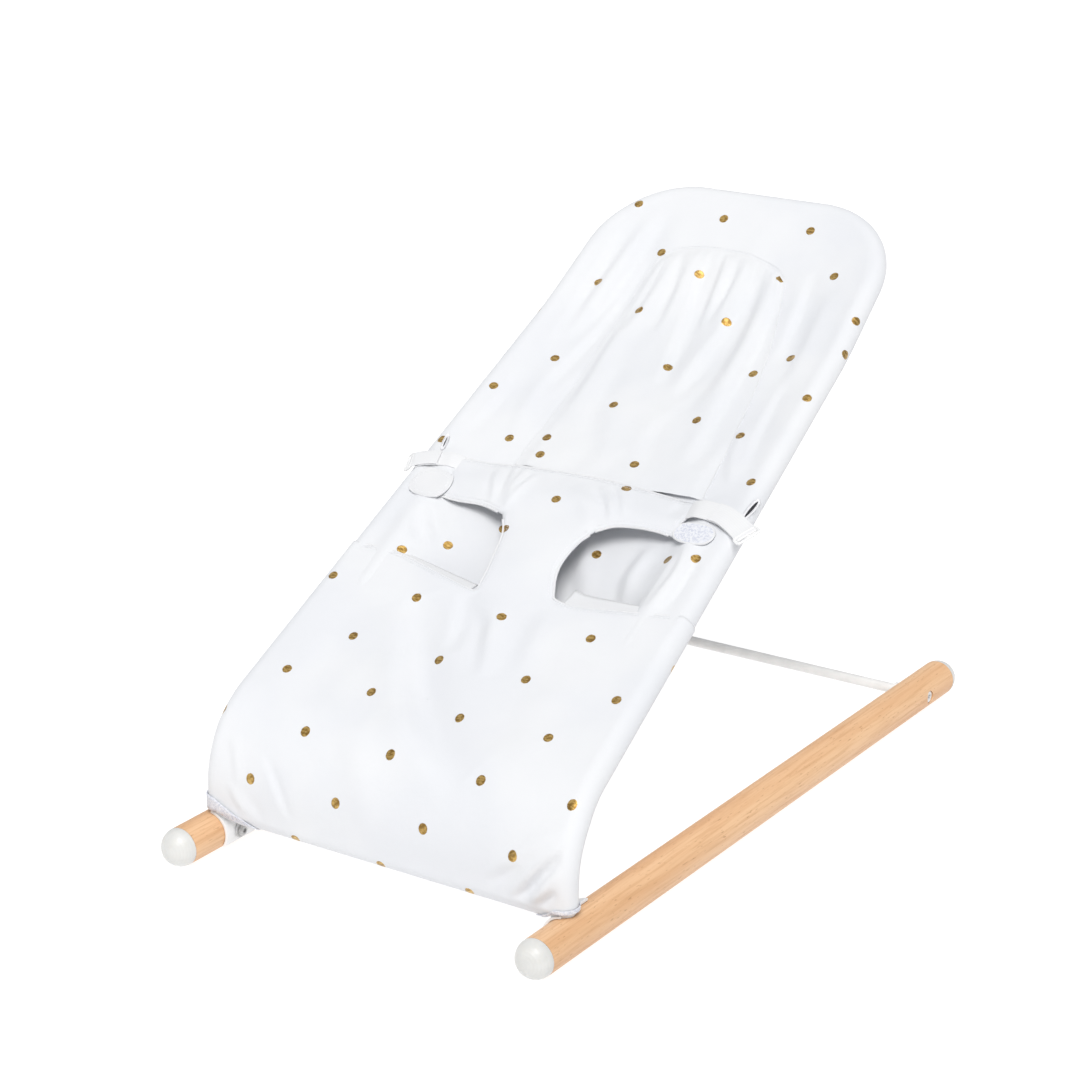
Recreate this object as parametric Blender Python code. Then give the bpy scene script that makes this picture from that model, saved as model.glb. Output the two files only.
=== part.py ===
"""A baby bouncer seat on two wooden runners.

Two round beech runners carry a steel crossbar at the back and two steel saddle feet at the front.
A bent steel frame stands on the feet and leans back over the runners. A fabric cover spans it,
with leg holes, a seat pocket behind them and a waist belt with strap and tab at each side.

X is across, -Y is the foot end, +Y the head end and Z is up. All sizes are in metres.
"""

import math

import bmesh
import bpy
from mathutils import Vector

# Overall
OVERALL_LENGTH = 0.760
OVERALL_WIDTH = 0.410
GAP = 0.0003  # between pieces that touch
HOLE_CLEARANCE = 0.0004  # round a screw or its head

# Runners, end caps and crossbar
RUNNER_RADIUS = 0.0175
RUNNER_SIDES = 40
RUNNER_X = OVERALL_WIDTH / 2 - RUNNER_RADIUS
CAP_Y = OVERALL_LENGTH / 2 - RUNNER_RADIUS  # where the round cap ends begin
STEM_RADIUS = 0.006
STEM_LENGTH = 0.018
CROSSBAR_Y = 0.312
CROSSBAR_RADIUS = 0.005
FERRULE_RADIUS = 0.007
FERRULE_LENGTH = 0.004
BOLT_RADIUS = 0.003
BOLT_HEAD_RADIUS = 0.006
BOLT_HEAD_HEIGHT = 0.005
BOLT_HEAD_SINK = 0.0015
BOLT_GRIP = 0.022  # length of bolt inside the crossbar
BOLT_EDGE = 0.0006
BOLT_SOCKET_RADIUS = 0.0029
BOLT_SOCKET_DEPTH = 0.003
BOLT_HOLE_START = 0.020  # inside the runner, past its axis

# Saddle feet and what holds them
SADDLE_WALL = 0.0025
SADDLE_FRONT_Y = -0.324
SADDLE_BACK_Y = -0.282
SADDLE_LOW = math.radians(-35)  # from level, on the runner's inner side
SADDLE_HIGH = math.radians(84)
SADDLE_SCREW_Y = -0.306
SCREW_RADIUS = 0.0025
SCREW_HEAD_RADIUS = 0.0050
SCREW_HEAD_HEIGHT = 0.0034
SCREW_SOCKET_RADIUS = 0.0023
SCREW_SOCKET_DEPTH = 0.0022
SCREW_LENGTH = 0.0165
WASHER_RADIUS = 0.0074
WASHER_THICKNESS = 0.0012
INSERT_RADIUS = 0.0042
INSERT_LENGTH = 0.013
INSERT_START = 0.0022  # from the runner's axis
INSERT_HOLE_START = 0.0017

# Seat frame: the tube's centre line
TUBE_RADIUS = 0.010
TUBE_WALL = 0.0015
FOOT_Y = -0.312
FOOT_TOP_Z = 0.058
PIVOT_Z = 0.059
LEG_BOTTOM_Z = 0.060
LEG_X = 0.1805
KNEE = Vector((LEG_X, FOOT_Y, 0.1106))
KNEE_RADIUS = 0.090
SHOULDER = Vector((0.155, 0.1815, 0.390))
SHOULDER_RADIUS = 0.300
CROWN = Vector((0.146, 0.316, 0.485))
CROWN_RADIUS = 0.085
JOINT_FRACTION = 0.72  # of the way from the knee to the shoulder
SLEEVE_LENGTH = 0.070
SLEEVE_RADIUS = 0.0080
SLEEVE_WALL = 0.0012
JOINT_SCREW_OFFSET = 0.020
CROSS_TUBE_RADIUS = 0.008
CROSS_TUBE_Z = 0.039

# Cover: distances s run up the seat's side profile from this height
PROFILE_START_Z = 0.038
COVER_THICKNESS = 0.003
TUBE_MARGIN = 0.0115  # from a tube's centre line to the edge of a panel
FRONT_PANEL_S = (0.016, 0.275)
FRONT_HEIGHT = 0.0075  # in front of the tubes' centre plane
LEG_HOLE_S = (0.275, 0.3645)
LEG_HOLE_OUTER_X = 0.132
BRIDGE_HALF_WIDTH = 0.030
BELT_S = (0.3648, 0.4275)
BELT_HALF_WIDTH = 0.130
BELT_HEIGHT = 0.0105
SIDE_STRIP_HEIGHT = 0.0040
BRIDGE_FLARE = 0.012  # how much wider the bridge is at its ends
BACK_OFFSET = -0.003
POCKET_S = (0.150, 0.4395)
POCKET_DEPTH = 0.042
BACK_PANEL_S = 0.4398
BACK_SAG = 0.008
INSET_S = (0.455, 0.725)
INSET_THICKNESS = 0.005
INSET_HALF_WIDTH = (0.100, 0.072)  # at its lower and upper edge
STRAP_S = (0.396, 0.420)
STRAP_THICKNESS = 0.0015
STRAP_X = (0.118, 0.176)
STRAP_HEIGHT = 0.0138
TAIL_HEIGHT = 0.0158
CLIP_X = (0.1764, 0.190)
CLIP_THICKNESS = 0.004
TAB_S = (0.3600, 0.3932)
TAB_X = (0.122, 0.165)
TAB_TAPER = 0.012
TAB_HEIGHT = 0.0140
TAB_THICKNESS = 0.0024
CUFF_WALL = 0.0014

SIDES = {"left": -1, "right": 1}

FINISHES = {
    "beech": ((0.84, 0.50, 0.26), 0.45, 0.0),
    "silicone": ((0.78, 0.78, 0.76), 0.35, 0.0),
    "white_steel": ((0.86, 0.86, 0.87), 0.35, 0.0),
    "zinc_steel": ((0.45, 0.45, 0.46), 0.35, 1.0),
    "brass": ((0.72, 0.55, 0.26), 0.35, 1.0),
    "cover_fabric": ((0.92, 0.92, 0.94), 0.85, 0.0),
    "pocket_fabric": ((0.86, 0.86, 0.88), 0.85, 0.0),
    "inset_fabric": ((0.90, 0.90, 0.93), 0.85, 0.0),
    "webbing": ((0.94, 0.94, 0.94), 0.50, 0.0),
    "hook_tape": ((0.62, 0.64, 0.72), 0.80, 0.0),
    "white_plastic": ((0.90, 0.90, 0.90), 0.35, 0.0),
}


def clear_scene():
    for obj in list(bpy.data.objects):
        bpy.data.objects.remove(obj, do_unlink=True)


def make_finishes():
    made = {}
    for name, (colour, roughness, metallic) in FINISHES.items():
        material = bpy.data.materials.new(name)
        material.use_nodes = True
        shader = material.node_tree.nodes["Principled BSDF"]
        shader.inputs["Base Color"].default_value = (*colour, 1.0)
        shader.inputs["Roughness"].default_value = roughness
        shader.inputs["Metallic"].default_value = metallic
        material.diffuse_color = (*colour, 1.0)
        made[name] = material
    return made


def place(name, data, finish):
    obj = bpy.data.objects.new(name, data)
    obj.data.materials.append(MATERIALS[finish])
    bpy.context.scene.collection.objects.link(obj)
    return obj


def pivot(name, position):
    """An empty on a joint's axis, which the pieces of a moving body are parented to."""
    empty = bpy.data.objects.new(name, None)
    empty.location = position
    bpy.context.scene.collection.objects.link(empty)
    return empty


def hang(obj, empty):
    """Parents a piece to an empty and leaves the piece where it is."""
    obj.parent = empty
    obj.location -= empty.location


def turned(name, profile, at, along, sides, finish):
    """A solid turned about its own Z axis. The profile's points are (radius, height).

    An open profile starts and ends on the axis, and a closed one makes a ring.
    """
    bm = bmesh.new()
    phase = math.pi / sides
    closed = profile[0] == profile[-1]
    points = profile[:-1] if closed else profile
    ring = [bm.verts.new((r * math.cos(phase), r * math.sin(phase), h)) for r, h in points]
    pairs = list(zip(ring, ring[1:])) + ([(ring[-1], ring[0])] if closed else [])
    edges = [bm.edges.new(pair) for pair in pairs]
    bmesh.ops.spin(
        bm, geom=ring + edges, cent=(0, 0, 0), axis=(0, 0, 1), angle=2 * math.pi, steps=sides
    )
    bmesh.ops.remove_doubles(bm, verts=bm.verts, dist=1e-6)
    bmesh.ops.recalc_face_normals(bm, faces=bm.faces)
    mesh = bpy.data.meshes.new(name)
    bm.to_mesh(mesh)
    bm.free()
    mesh.shade_smooth()
    mesh.set_sharp_from_angle(angle=math.radians(35))
    obj = place(name, mesh, finish)
    obj.location = at
    obj.rotation_mode = "QUATERNION"
    obj.rotation_quaternion = Vector((0, 0, 1)).rotation_difference(Vector(along))
    return obj


def cylinder_profile(radius, low, high):
    return [(0, low), (radius, low), (radius, high), (0, high)]


def boolean(obj, cutter, operation="DIFFERENCE"):
    """Cuts or joins with another object, which is hidden and left out of the model."""
    cutter.hide_render = True
    cutter.display_type = "WIRE"
    modifier = obj.modifiers.new(cutter.name, "BOOLEAN")
    modifier.operation = operation
    modifier.solver = "EXACT"
    modifier.object = cutter


def rounded_path(corners, radii):
    """Points along straight runs through the corners, with an arc of the given radius at each bend."""
    points = [corners[0]]
    for i, radius in enumerate(radii, start=1):
        before = (corners[i - 1] - corners[i]).normalized()
        after = (corners[i + 1] - corners[i]).normalized()
        turn = math.pi - before.angle(after)
        reach = radius * math.tan(turn / 2)
        centre = corners[i] + (before + after).normalized() * radius / math.cos(turn / 2)
        first = corners[i] + before * reach - centre
        last = corners[i] + after * reach - centre
        steps = max(3, round(math.degrees(turn) / 6))
        for k in range(steps + 1):
            part = k / steps
            weight = math.sin(turn * (1 - part)), math.sin(turn * part)
            points.append(centre + (first * weight[0] + last * weight[1]) / math.sin(turn))
    points.append(corners[-1])
    return points


def tube(name, points, radius, wall, finish):
    """A hollow tube with open ends along the points: a bevelled curve made into a mesh, with a wall."""
    curve = bpy.data.curves.new(name + "_line", "CURVE")
    curve.dimensions = "3D"
    curve.bevel_depth = radius
    curve.bevel_resolution = 3
    spline = curve.splines.new("POLY")
    spline.points.add(len(points) - 1)
    for spline_point, point in zip(spline.points, points):
        spline_point.co = (*point, 1.0)
    line = place(name + "_line", curve, finish)
    mesh = bpy.data.meshes.new_from_object(line.evaluated_get(bpy.context.evaluated_depsgraph_get()))
    bpy.data.objects.remove(line)
    mesh.shade_smooth()
    obj = bpy.data.objects.new(name, mesh)
    bpy.context.scene.collection.objects.link(obj)
    solidify = obj.modifiers.new("wall", "SOLIDIFY")
    solidify.thickness = wall
    solidify.offset = -1
    return obj


def profile_lengths():
    """Lengths along the seat's side profile, up to the end of each of its runs, and its two slopes."""
    knee = Vector((KNEE.y, KNEE.z))
    shoulder = Vector((SHOULDER.y, SHOULDER.z))
    crown = Vector((CROWN.y, CROWN.z))
    slope = math.atan2(shoulder.y - knee.y, shoulder.x - knee.x)
    head_slope = math.atan2(crown.y - shoulder.y, crown.x - shoulder.x)
    knee_turn = math.pi / 2 - slope
    shoulder_turn = head_slope - slope
    knee_reach = KNEE_RADIUS * math.tan(knee_turn / 2)
    shoulder_reach = SHOULDER_RADIUS * math.tan(shoulder_turn / 2)
    rise = knee.y - knee_reach - PROFILE_START_Z
    bend = rise + KNEE_RADIUS * knee_turn
    run = bend + (shoulder - knee).length - knee_reach - shoulder_reach
    lift = run + SHOULDER_RADIUS * shoulder_turn
    top = lift + (crown - shoulder).length - shoulder_reach
    return (rise, bend, run, lift, top), slope, head_slope


def profile_point(s):
    """The side profile's y and z and its slope at the distance s from its foot."""
    (rise, bend, run, lift, _), slope, head_slope = profile_lengths()
    if s <= rise:
        return FOOT_Y, PROFILE_START_Z + s, math.pi / 2
    if s <= bend:
        angle = math.pi / 2 - (s - rise) / KNEE_RADIUS
        y = FOOT_Y + KNEE_RADIUS * (1 - math.sin(angle))
        z = PROFILE_START_Z + rise + KNEE_RADIUS * math.cos(angle)
        return y, z, angle
    y, z, _ = profile_point(bend)
    if s <= run:
        return y + (s - bend) * math.cos(slope), z + (s - bend) * math.sin(slope), slope
    y, z, _ = profile_point(run)
    if s <= lift:
        angle = slope + (s - run) / SHOULDER_RADIUS
        y += SHOULDER_RADIUS * (math.sin(angle) - math.sin(slope))
        z += SHOULDER_RADIUS * (math.cos(slope) - math.cos(angle))
        return y, z, angle
    y, z, _ = profile_point(lift)
    rest = s - lift
    return y + rest * math.cos(head_slope), z + rest * math.sin(head_slope), head_slope


def tube_x(s):
    """How far a side tube's centre line is from the middle at the distance s."""
    y, z, _ = profile_point(s)
    if z <= KNEE.z:
        return LEG_X
    low, high = (KNEE, SHOULDER) if z <= SHOULDER.z else (SHOULDER, CROWN)
    part = (z - low.z) / (high.z - low.z)
    return low.x + (high.x - low.x) * part


def panel_edge(s):
    """Half the width between the frame's tubes that a panel fills, with the crown's round corners."""
    top = PROFILE_LENGTH - TUBE_MARGIN
    radius = CROWN_RADIUS - TUBE_MARGIN
    width = tube_x(s) - TUBE_MARGIN
    above = max(0.0, s - (top - radius))
    return width - radius + math.sqrt(max(0.0, radius**2 - above**2))


def seat_point(x, s, height):
    """A point on the seat: x across, s up its profile, and height in front of the tubes' centre plane."""
    y, z, angle = profile_point(s)
    return Vector((x, y - height * math.sin(angle), z + height * math.cos(angle)))


def level(height):
    """The height of a flat panel, the same all over it."""
    return lambda x, s: height


def panel(name, finish, s_range, x_range, height, thickness, rows, columns):
    """A closed sheet: x_range(s) gives its two edges, and height(x, s) the middle of its thickness."""
    bm = bmesh.new()
    grids = []
    for face in (-0.5, 0.5):
        grid = []
        for i in range(rows + 1):
            s = s_range[0] + (s_range[1] - s_range[0]) * i / rows
            x_low, x_high = x_range(s)
            row = []
            for j in range(columns + 1):
                x = x_low + (x_high - x_low) * j / columns
                row.append(bm.verts.new(seat_point(x, s, height(x, s) + face * thickness)))
            grid.append(row)
        grids.append(grid)
    for grid in grids:
        for i in range(rows):
            for j in range(columns):
                bm.faces.new((grid[i][j], grid[i][j + 1], grid[i + 1][j + 1], grid[i + 1][j]))
    lower, upper = grids
    rim = [(0, j) for j in range(columns)]
    rim += [(i, columns) for i in range(rows)]
    rim += [(rows, j) for j in range(columns, 0, -1)]
    rim += [(i, 0) for i in range(rows, 0, -1)]
    for (i, j), (m, n) in zip(rim, rim[1:] + rim[:1]):
        bm.faces.new((lower[i][j], lower[m][n], upper[m][n], upper[i][j]))
    bmesh.ops.recalc_face_normals(bm, faces=bm.faces)
    mesh = bpy.data.meshes.new(name)
    bm.to_mesh(mesh)
    bm.free()
    mesh.shade_smooth()
    mesh.set_sharp_from_angle(angle=math.radians(35))
    return place(name, mesh, finish)


def arc_shell(name, finish, centre, radius, wall, angles, along, span, steps):
    """A bent sheet: an arc of a ring round the centre, drawn out from span[0] to span[1].

    For a sheet along X or Y the angle runs in its cross-section from -Y or from -X towards +Z.
    For one along Z it runs from +X towards +Y.
    """
    def point(r, angle, reach):
        level, rise = -r * math.cos(angle), r * math.sin(angle)
        if along == "X":
            return Vector((reach, centre[1] + level, centre[2] + rise))
        if along == "Y":
            return Vector((centre[0] + level, reach, centre[2] + rise))
        return Vector((centre[0] - level, centre[1] + rise, reach))

    bm = bmesh.new()
    turns = [angles[0] + (angles[1] - angles[0]) * k / steps for k in range(steps + 1)]
    inner = [bm.verts.new(point(radius, a, span[0])) for a in turns]
    outer = [bm.verts.new(point(radius + wall, a, span[0])) for a in turns]
    faces = [
        bm.faces.new((inner[k], inner[k + 1], outer[k + 1], outer[k])) for k in range(steps)
    ]
    drawn = bmesh.ops.extrude_face_region(bm, geom=faces)["geom"]
    moved = [item for item in drawn if isinstance(item, bmesh.types.BMVert)]
    step = point(0, 0, span[1]) - point(0, 0, span[0])
    bmesh.ops.translate(bm, verts=moved, vec=step)
    bmesh.ops.recalc_face_normals(bm, faces=bm.faces)
    mesh = bpy.data.meshes.new(name)
    bm.to_mesh(mesh)
    bm.free()
    mesh.shade_smooth()
    mesh.set_sharp_from_angle(angle=math.radians(35))
    return place(name, mesh, finish)


def make_runner(name, side):
    """A beech rod with a blind bore in each end, a stepped bolt hole at the back and an insert hole."""
    half = CAP_Y - GAP
    facet_radius = RUNNER_RADIUS / math.cos(math.pi / RUNNER_SIDES)
    x = side * RUNNER_X
    runner = turned(
        "runner_" + name,
        cylinder_profile(facet_radius, -half, half),
        (x, 0, RUNNER_RADIUS), (0, 1, 0), RUNNER_SIDES, "beech",
    )
    for end in (-1, 1):
        cut = turned(
            f"cut_stem_{name}_{end}",
            cylinder_profile(STEM_RADIUS + GAP, -STEM_LENGTH - 0.001, 0.002),
            (x, end * half, RUNNER_RADIUS), (0, end, 0), 24, "beech",
        )
        boolean(runner, cut)
    step = RUNNER_RADIUS - BOLT_HEAD_SINK - BOLT_HEAD_HEIGHT - GAP
    head_hole = BOLT_HEAD_RADIUS + HOLE_CLEARANCE
    bolt_hole = [
        (0, -BOLT_HOLE_START), (BOLT_RADIUS + GAP, -BOLT_HOLE_START), (BOLT_RADIUS + GAP, step),
        (head_hole, step), (head_hole, BOLT_HOLE_START), (0, BOLT_HOLE_START),
    ]
    boolean(runner, turned(
        f"cut_bolt_{name}", bolt_hole, (x, CROSSBAR_Y, RUNNER_RADIUS), (side, 0, 0), 24, "beech",
    ))
    boolean(runner, turned(
        f"cut_insert_{name}",
        cylinder_profile(INSERT_RADIUS + GAP, INSERT_HOLE_START, BOLT_HOLE_START),
        (x, SADDLE_SCREW_Y, RUNNER_RADIUS), (-side, 0, 0), 24, "beech",
    ))


def make_end_cap(name, side, end):
    """A round cap the size of the runner, with a stem that fills the runner's end bore."""
    facet_radius = RUNNER_RADIUS / math.cos(math.pi / RUNNER_SIDES)
    profile = [(0, -STEM_LENGTH), (STEM_RADIUS - 0.001, -STEM_LENGTH)]
    profile += [(STEM_RADIUS, -STEM_LENGTH + 0.001), (STEM_RADIUS, 0)]
    rings = 9
    for k in range(rings):
        angle = math.pi / 2 * k / rings
        profile.append((facet_radius * math.cos(angle), RUNNER_RADIUS * math.sin(angle)))
    profile.append((0, RUNNER_RADIUS))
    turned(
        "end_cap_" + name, profile,
        (side * RUNNER_X, end * CAP_Y, RUNNER_RADIUS), (0, end, 0), RUNNER_SIDES, "silicone",
    )


def make_crossbar():
    """The rear rod, its two ferrules and the bolts that clamp it between the runners."""
    inner_face = RUNNER_X - RUNNER_RADIUS - GAP
    half = inner_face - FERRULE_LENGTH - GAP
    bore = BOLT_RADIUS + GAP
    bottom = half - BOLT_GRIP - 0.003
    turned("crossbar", [
        (0, -bottom), (bore, -bottom), (bore, -half), (CROSSBAR_RADIUS, -half),
        (CROSSBAR_RADIUS, half), (bore, half), (bore, bottom), (0, bottom),
    ], (0, CROSSBAR_Y, RUNNER_RADIUS), (1, 0, 0), 24, "white_steel")
    for name, side in SIDES.items():
        turned("crossbar_ferrule_" + name, [
            (bore, 0), (FERRULE_RADIUS, 0), (FERRULE_RADIUS, FERRULE_LENGTH),
            (bore, FERRULE_LENGTH), (bore, 0),
        ], (side * (half + GAP), CROSSBAR_Y, RUNNER_RADIUS), (side, 0, 0), 24, "white_plastic")
        face = RUNNER_X + RUNNER_RADIUS - BOLT_HEAD_SINK
        underside = -BOLT_HEAD_HEIGHT
        tip = half - BOLT_GRIP - face
        bolt = turned("crossbar_bolt_" + name, [
            (0, tip), (BOLT_RADIUS - BOLT_EDGE, tip), (BOLT_RADIUS, tip + BOLT_EDGE),
            (BOLT_RADIUS, underside), (BOLT_HEAD_RADIUS, underside),
            (BOLT_HEAD_RADIUS, -BOLT_EDGE), (BOLT_HEAD_RADIUS - BOLT_EDGE, 0), (0, 0),
        ], (side * face, CROSSBAR_Y, RUNNER_RADIUS), (side, 0, 0), 24, "zinc_steel")
        boolean(bolt, turned(
            f"cut_bolt_socket_{name}",
            cylinder_profile(BOLT_SOCKET_RADIUS, -BOLT_SOCKET_DEPTH, BOLT_SOCKET_DEPTH),
            (side * face, CROSSBAR_Y, RUNNER_RADIUS), (side, 0, 0), 6, "zinc_steel",
        ))


def make_foot(name, side):
    """A bent steel saddle on the runner with a stub for the leg, its screw, washer and insert."""
    x = side * RUNNER_X
    low, high = SADDLE_LOW, SADDLE_HIGH
    angles = (low, high) if side > 0 else (math.pi - low, math.pi - high)
    inner_radius = RUNNER_RADIUS / math.cos(math.pi / RUNNER_SIDES) + GAP
    saddle = arc_shell(
        "saddle_foot_" + name, "white_steel", (x, 0, RUNNER_RADIUS), inner_radius, SADDLE_WALL,
        angles, "Y", (SADDLE_FRONT_Y, SADDLE_BACK_Y), 20,
    )
    bevel = saddle.modifiers.new("rolled_edge", "BEVEL")
    bevel.width = 0.0006
    bevel.segments = 2
    bevel.limit_method = "ANGLE"
    bevel.angle_limit = math.radians(60)
    leg = (side * LEG_X, FOOT_Y, 0)
    stub_flare = [
        (0, 0.022), (0.0105, 0.022), (0.0105, 0.038), (TUBE_RADIUS, 0.044),
        (TUBE_RADIUS, FOOT_TOP_Z), (0, FOOT_TOP_Z),
    ]
    boolean(saddle, turned(f"join_stub_{name}", stub_flare, leg, (0, 0, 1), 24, "white_steel"), "UNION")
    boolean(saddle, turned(
        f"cut_runner_{name}", cylinder_profile(inner_radius, -0.060, 0.060),
        (x, FOOT_Y, RUNNER_RADIUS), (0, 1, 0), RUNNER_SIDES, "white_steel",
    ))
    boolean(saddle, turned(
        f"cut_leg_bore_{name}", cylinder_profile(TUBE_RADIUS - TUBE_WALL, 0.041, 0.070),
        leg, (0, 0, 1), 24, "white_steel",
    ))
    screw_axis = (x, SADDLE_SCREW_Y, RUNNER_RADIUS)
    hole = SCREW_RADIUS + HOLE_CLEARANCE
    boolean(saddle, turned(
        f"cut_screw_{name}", cylinder_profile(hole, 0.010, 0.030),
        screw_axis, (-side, 0, 0), 24, "white_steel",
    ))
    face = inner_radius + SADDLE_WALL + GAP
    turned("saddle_washer_" + name, [
        (hole, face), (WASHER_RADIUS, face),
        (WASHER_RADIUS, face + WASHER_THICKNESS * 0.6),
        (WASHER_RADIUS - 0.0006, face + WASHER_THICKNESS),
        (hole, face + WASHER_THICKNESS), (hole, face),
    ], screw_axis, (-side, 0, 0), 24, "zinc_steel")
    seat = face + WASHER_THICKNESS + GAP
    tip = seat - SCREW_LENGTH
    crown = seat + SCREW_HEAD_HEIGHT
    screw = turned("saddle_screw_" + name, [
        (0, tip), (SCREW_RADIUS - 0.0005, tip), (SCREW_RADIUS, tip + 0.0005),
        (SCREW_RADIUS, seat), (SCREW_HEAD_RADIUS, seat),
        (SCREW_HEAD_RADIUS, crown - 0.0012), (SCREW_HEAD_RADIUS - 0.0010, crown - 0.0003),
        (SCREW_HEAD_RADIUS - 0.0020, crown), (0, crown),
    ], screw_axis, (-side, 0, 0), 24, "zinc_steel")
    boolean(screw, turned(
        f"cut_screw_socket_{name}",
        cylinder_profile(SCREW_SOCKET_RADIUS, crown - SCREW_SOCKET_DEPTH, crown + SCREW_SOCKET_DEPTH),
        screw_axis, (-side, 0, 0), 6, "zinc_steel",
    ))
    insert_end = INSERT_START + INSERT_LENGTH
    turned("threaded_insert_" + name, [
        (SCREW_RADIUS + GAP, INSERT_START), (INSERT_RADIUS, INSERT_START),
        (INSERT_RADIUS, insert_end), (SCREW_RADIUS + GAP, insert_end),
        (SCREW_RADIUS + GAP, INSERT_START),
    ], screw_axis, (-side, 0, 0), 24, "brass")


def mirrored(point, side):
    return Vector((side * point.x, point.y, point.z))


def make_frame(seat_pivot):
    """The bent leg tubes, the head bow that plugs onto them, and their sleeves and screws."""
    joint = KNEE.lerp(SHOULDER, JOINT_FRACTION)
    run = (SHOULDER - KNEE).normalized()
    _, slope, _ = profile_lengths()
    pieces = []
    for name, side in SIDES.items():
        leg = tube("leg_tube_" + name, leg_path(side, joint, run), TUBE_RADIUS, TUBE_WALL, "white_steel")
        centre = mirrored(joint, side)
        direction = mirrored(run, side)
        sleeve = tube("joint_sleeve_" + name, [
            centre - direction * SLEEVE_LENGTH / 2, centre, centre + direction * SLEEVE_LENGTH / 2,
        ], SLEEVE_RADIUS, SLEEVE_WALL, "zinc_steel")
        backward = Vector((0, math.sin(slope), -math.cos(slope)))
        at = centre - direction * JOINT_SCREW_OFFSET
        seat = TUBE_RADIUS + GAP
        screw = turned("joint_screw_" + name, [
            (0, seat - 0.005), (0.0020, seat - 0.005), (0.0020, seat), (0.0040, seat),
            (0.0040, seat + 0.0012), (0.0030, seat + 0.0022), (0, seat + 0.0022),
        ], at, backward, 16, "zinc_steel")
        for target in (leg, sleeve):
            boolean(target, turned(
                f"cut_{target.name}", cylinder_profile(0.0024, 0.003, 0.016),
                at, backward, 16, "zinc_steel",
            ))
        pieces += [leg, sleeve, screw]
    start = joint + run * GAP / 2
    corners = [mirrored(point, 1) for point in (start, SHOULDER, CROWN)]
    corners += [mirrored(point, -1) for point in (CROWN, SHOULDER, start)]
    radii = [SHOULDER_RADIUS, CROWN_RADIUS, CROWN_RADIUS, SHOULDER_RADIUS]
    pieces.append(tube("head_bow", rounded_path(corners, radii), TUBE_RADIUS, TUBE_WALL, "white_steel"))
    for piece in pieces:
        hang(piece, seat_pivot)


def leg_path(side, joint, run):
    """A leg's centre line: up from its foot, round the knee and along to the joint."""
    foot = Vector((side * LEG_X, FOOT_Y, LEG_BOTTOM_Z - KNEE_RADIUS))
    end = mirrored(joint - run * GAP / 2, side)
    path = rounded_path([foot, mirrored(KNEE, side), end], [KNEE_RADIUS])
    above = [point for point in path if point.z > LEG_BOTTOM_Z + 0.0005]
    return [Vector((side * LEG_X, FOOT_Y, LEG_BOTTOM_Z))] + above


def make_base_soft_parts():
    """The front cross tube, the hem of the cover that wraps under it, and a cuff round each leg."""
    half = LEG_X - TUBE_RADIUS - 0.0009
    tube("front_cross_tube", [
        Vector((-half, FOOT_Y, CROSS_TUBE_Z)), Vector((0, FOOT_Y, CROSS_TUBE_Z)),
        Vector((half, FOOT_Y, CROSS_TUBE_Z)),
    ], CROSS_TUBE_RADIUS, TUBE_WALL, "white_steel")
    arc_shell(
        "hem_wrap", "cover_fabric", (0, FOOT_Y, CROSS_TUBE_Z), CROSS_TUBE_RADIUS + 0.0005, 0.0015,
        (math.radians(15), math.radians(-215)), "X", (-0.160, 0.160), 20,
    )
    for name, side in SIDES.items():
        outward = 0 if side > 0 else math.pi
        arc_shell(
            "leg_cuff_" + name, "hook_tape", (side * LEG_X, FOOT_Y, 0), TUBE_RADIUS + 0.0006,
            CUFF_WALL, (outward - math.radians(105), outward + math.radians(105)), "Z",
            (0.0402, 0.0560), 18,
        )


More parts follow.
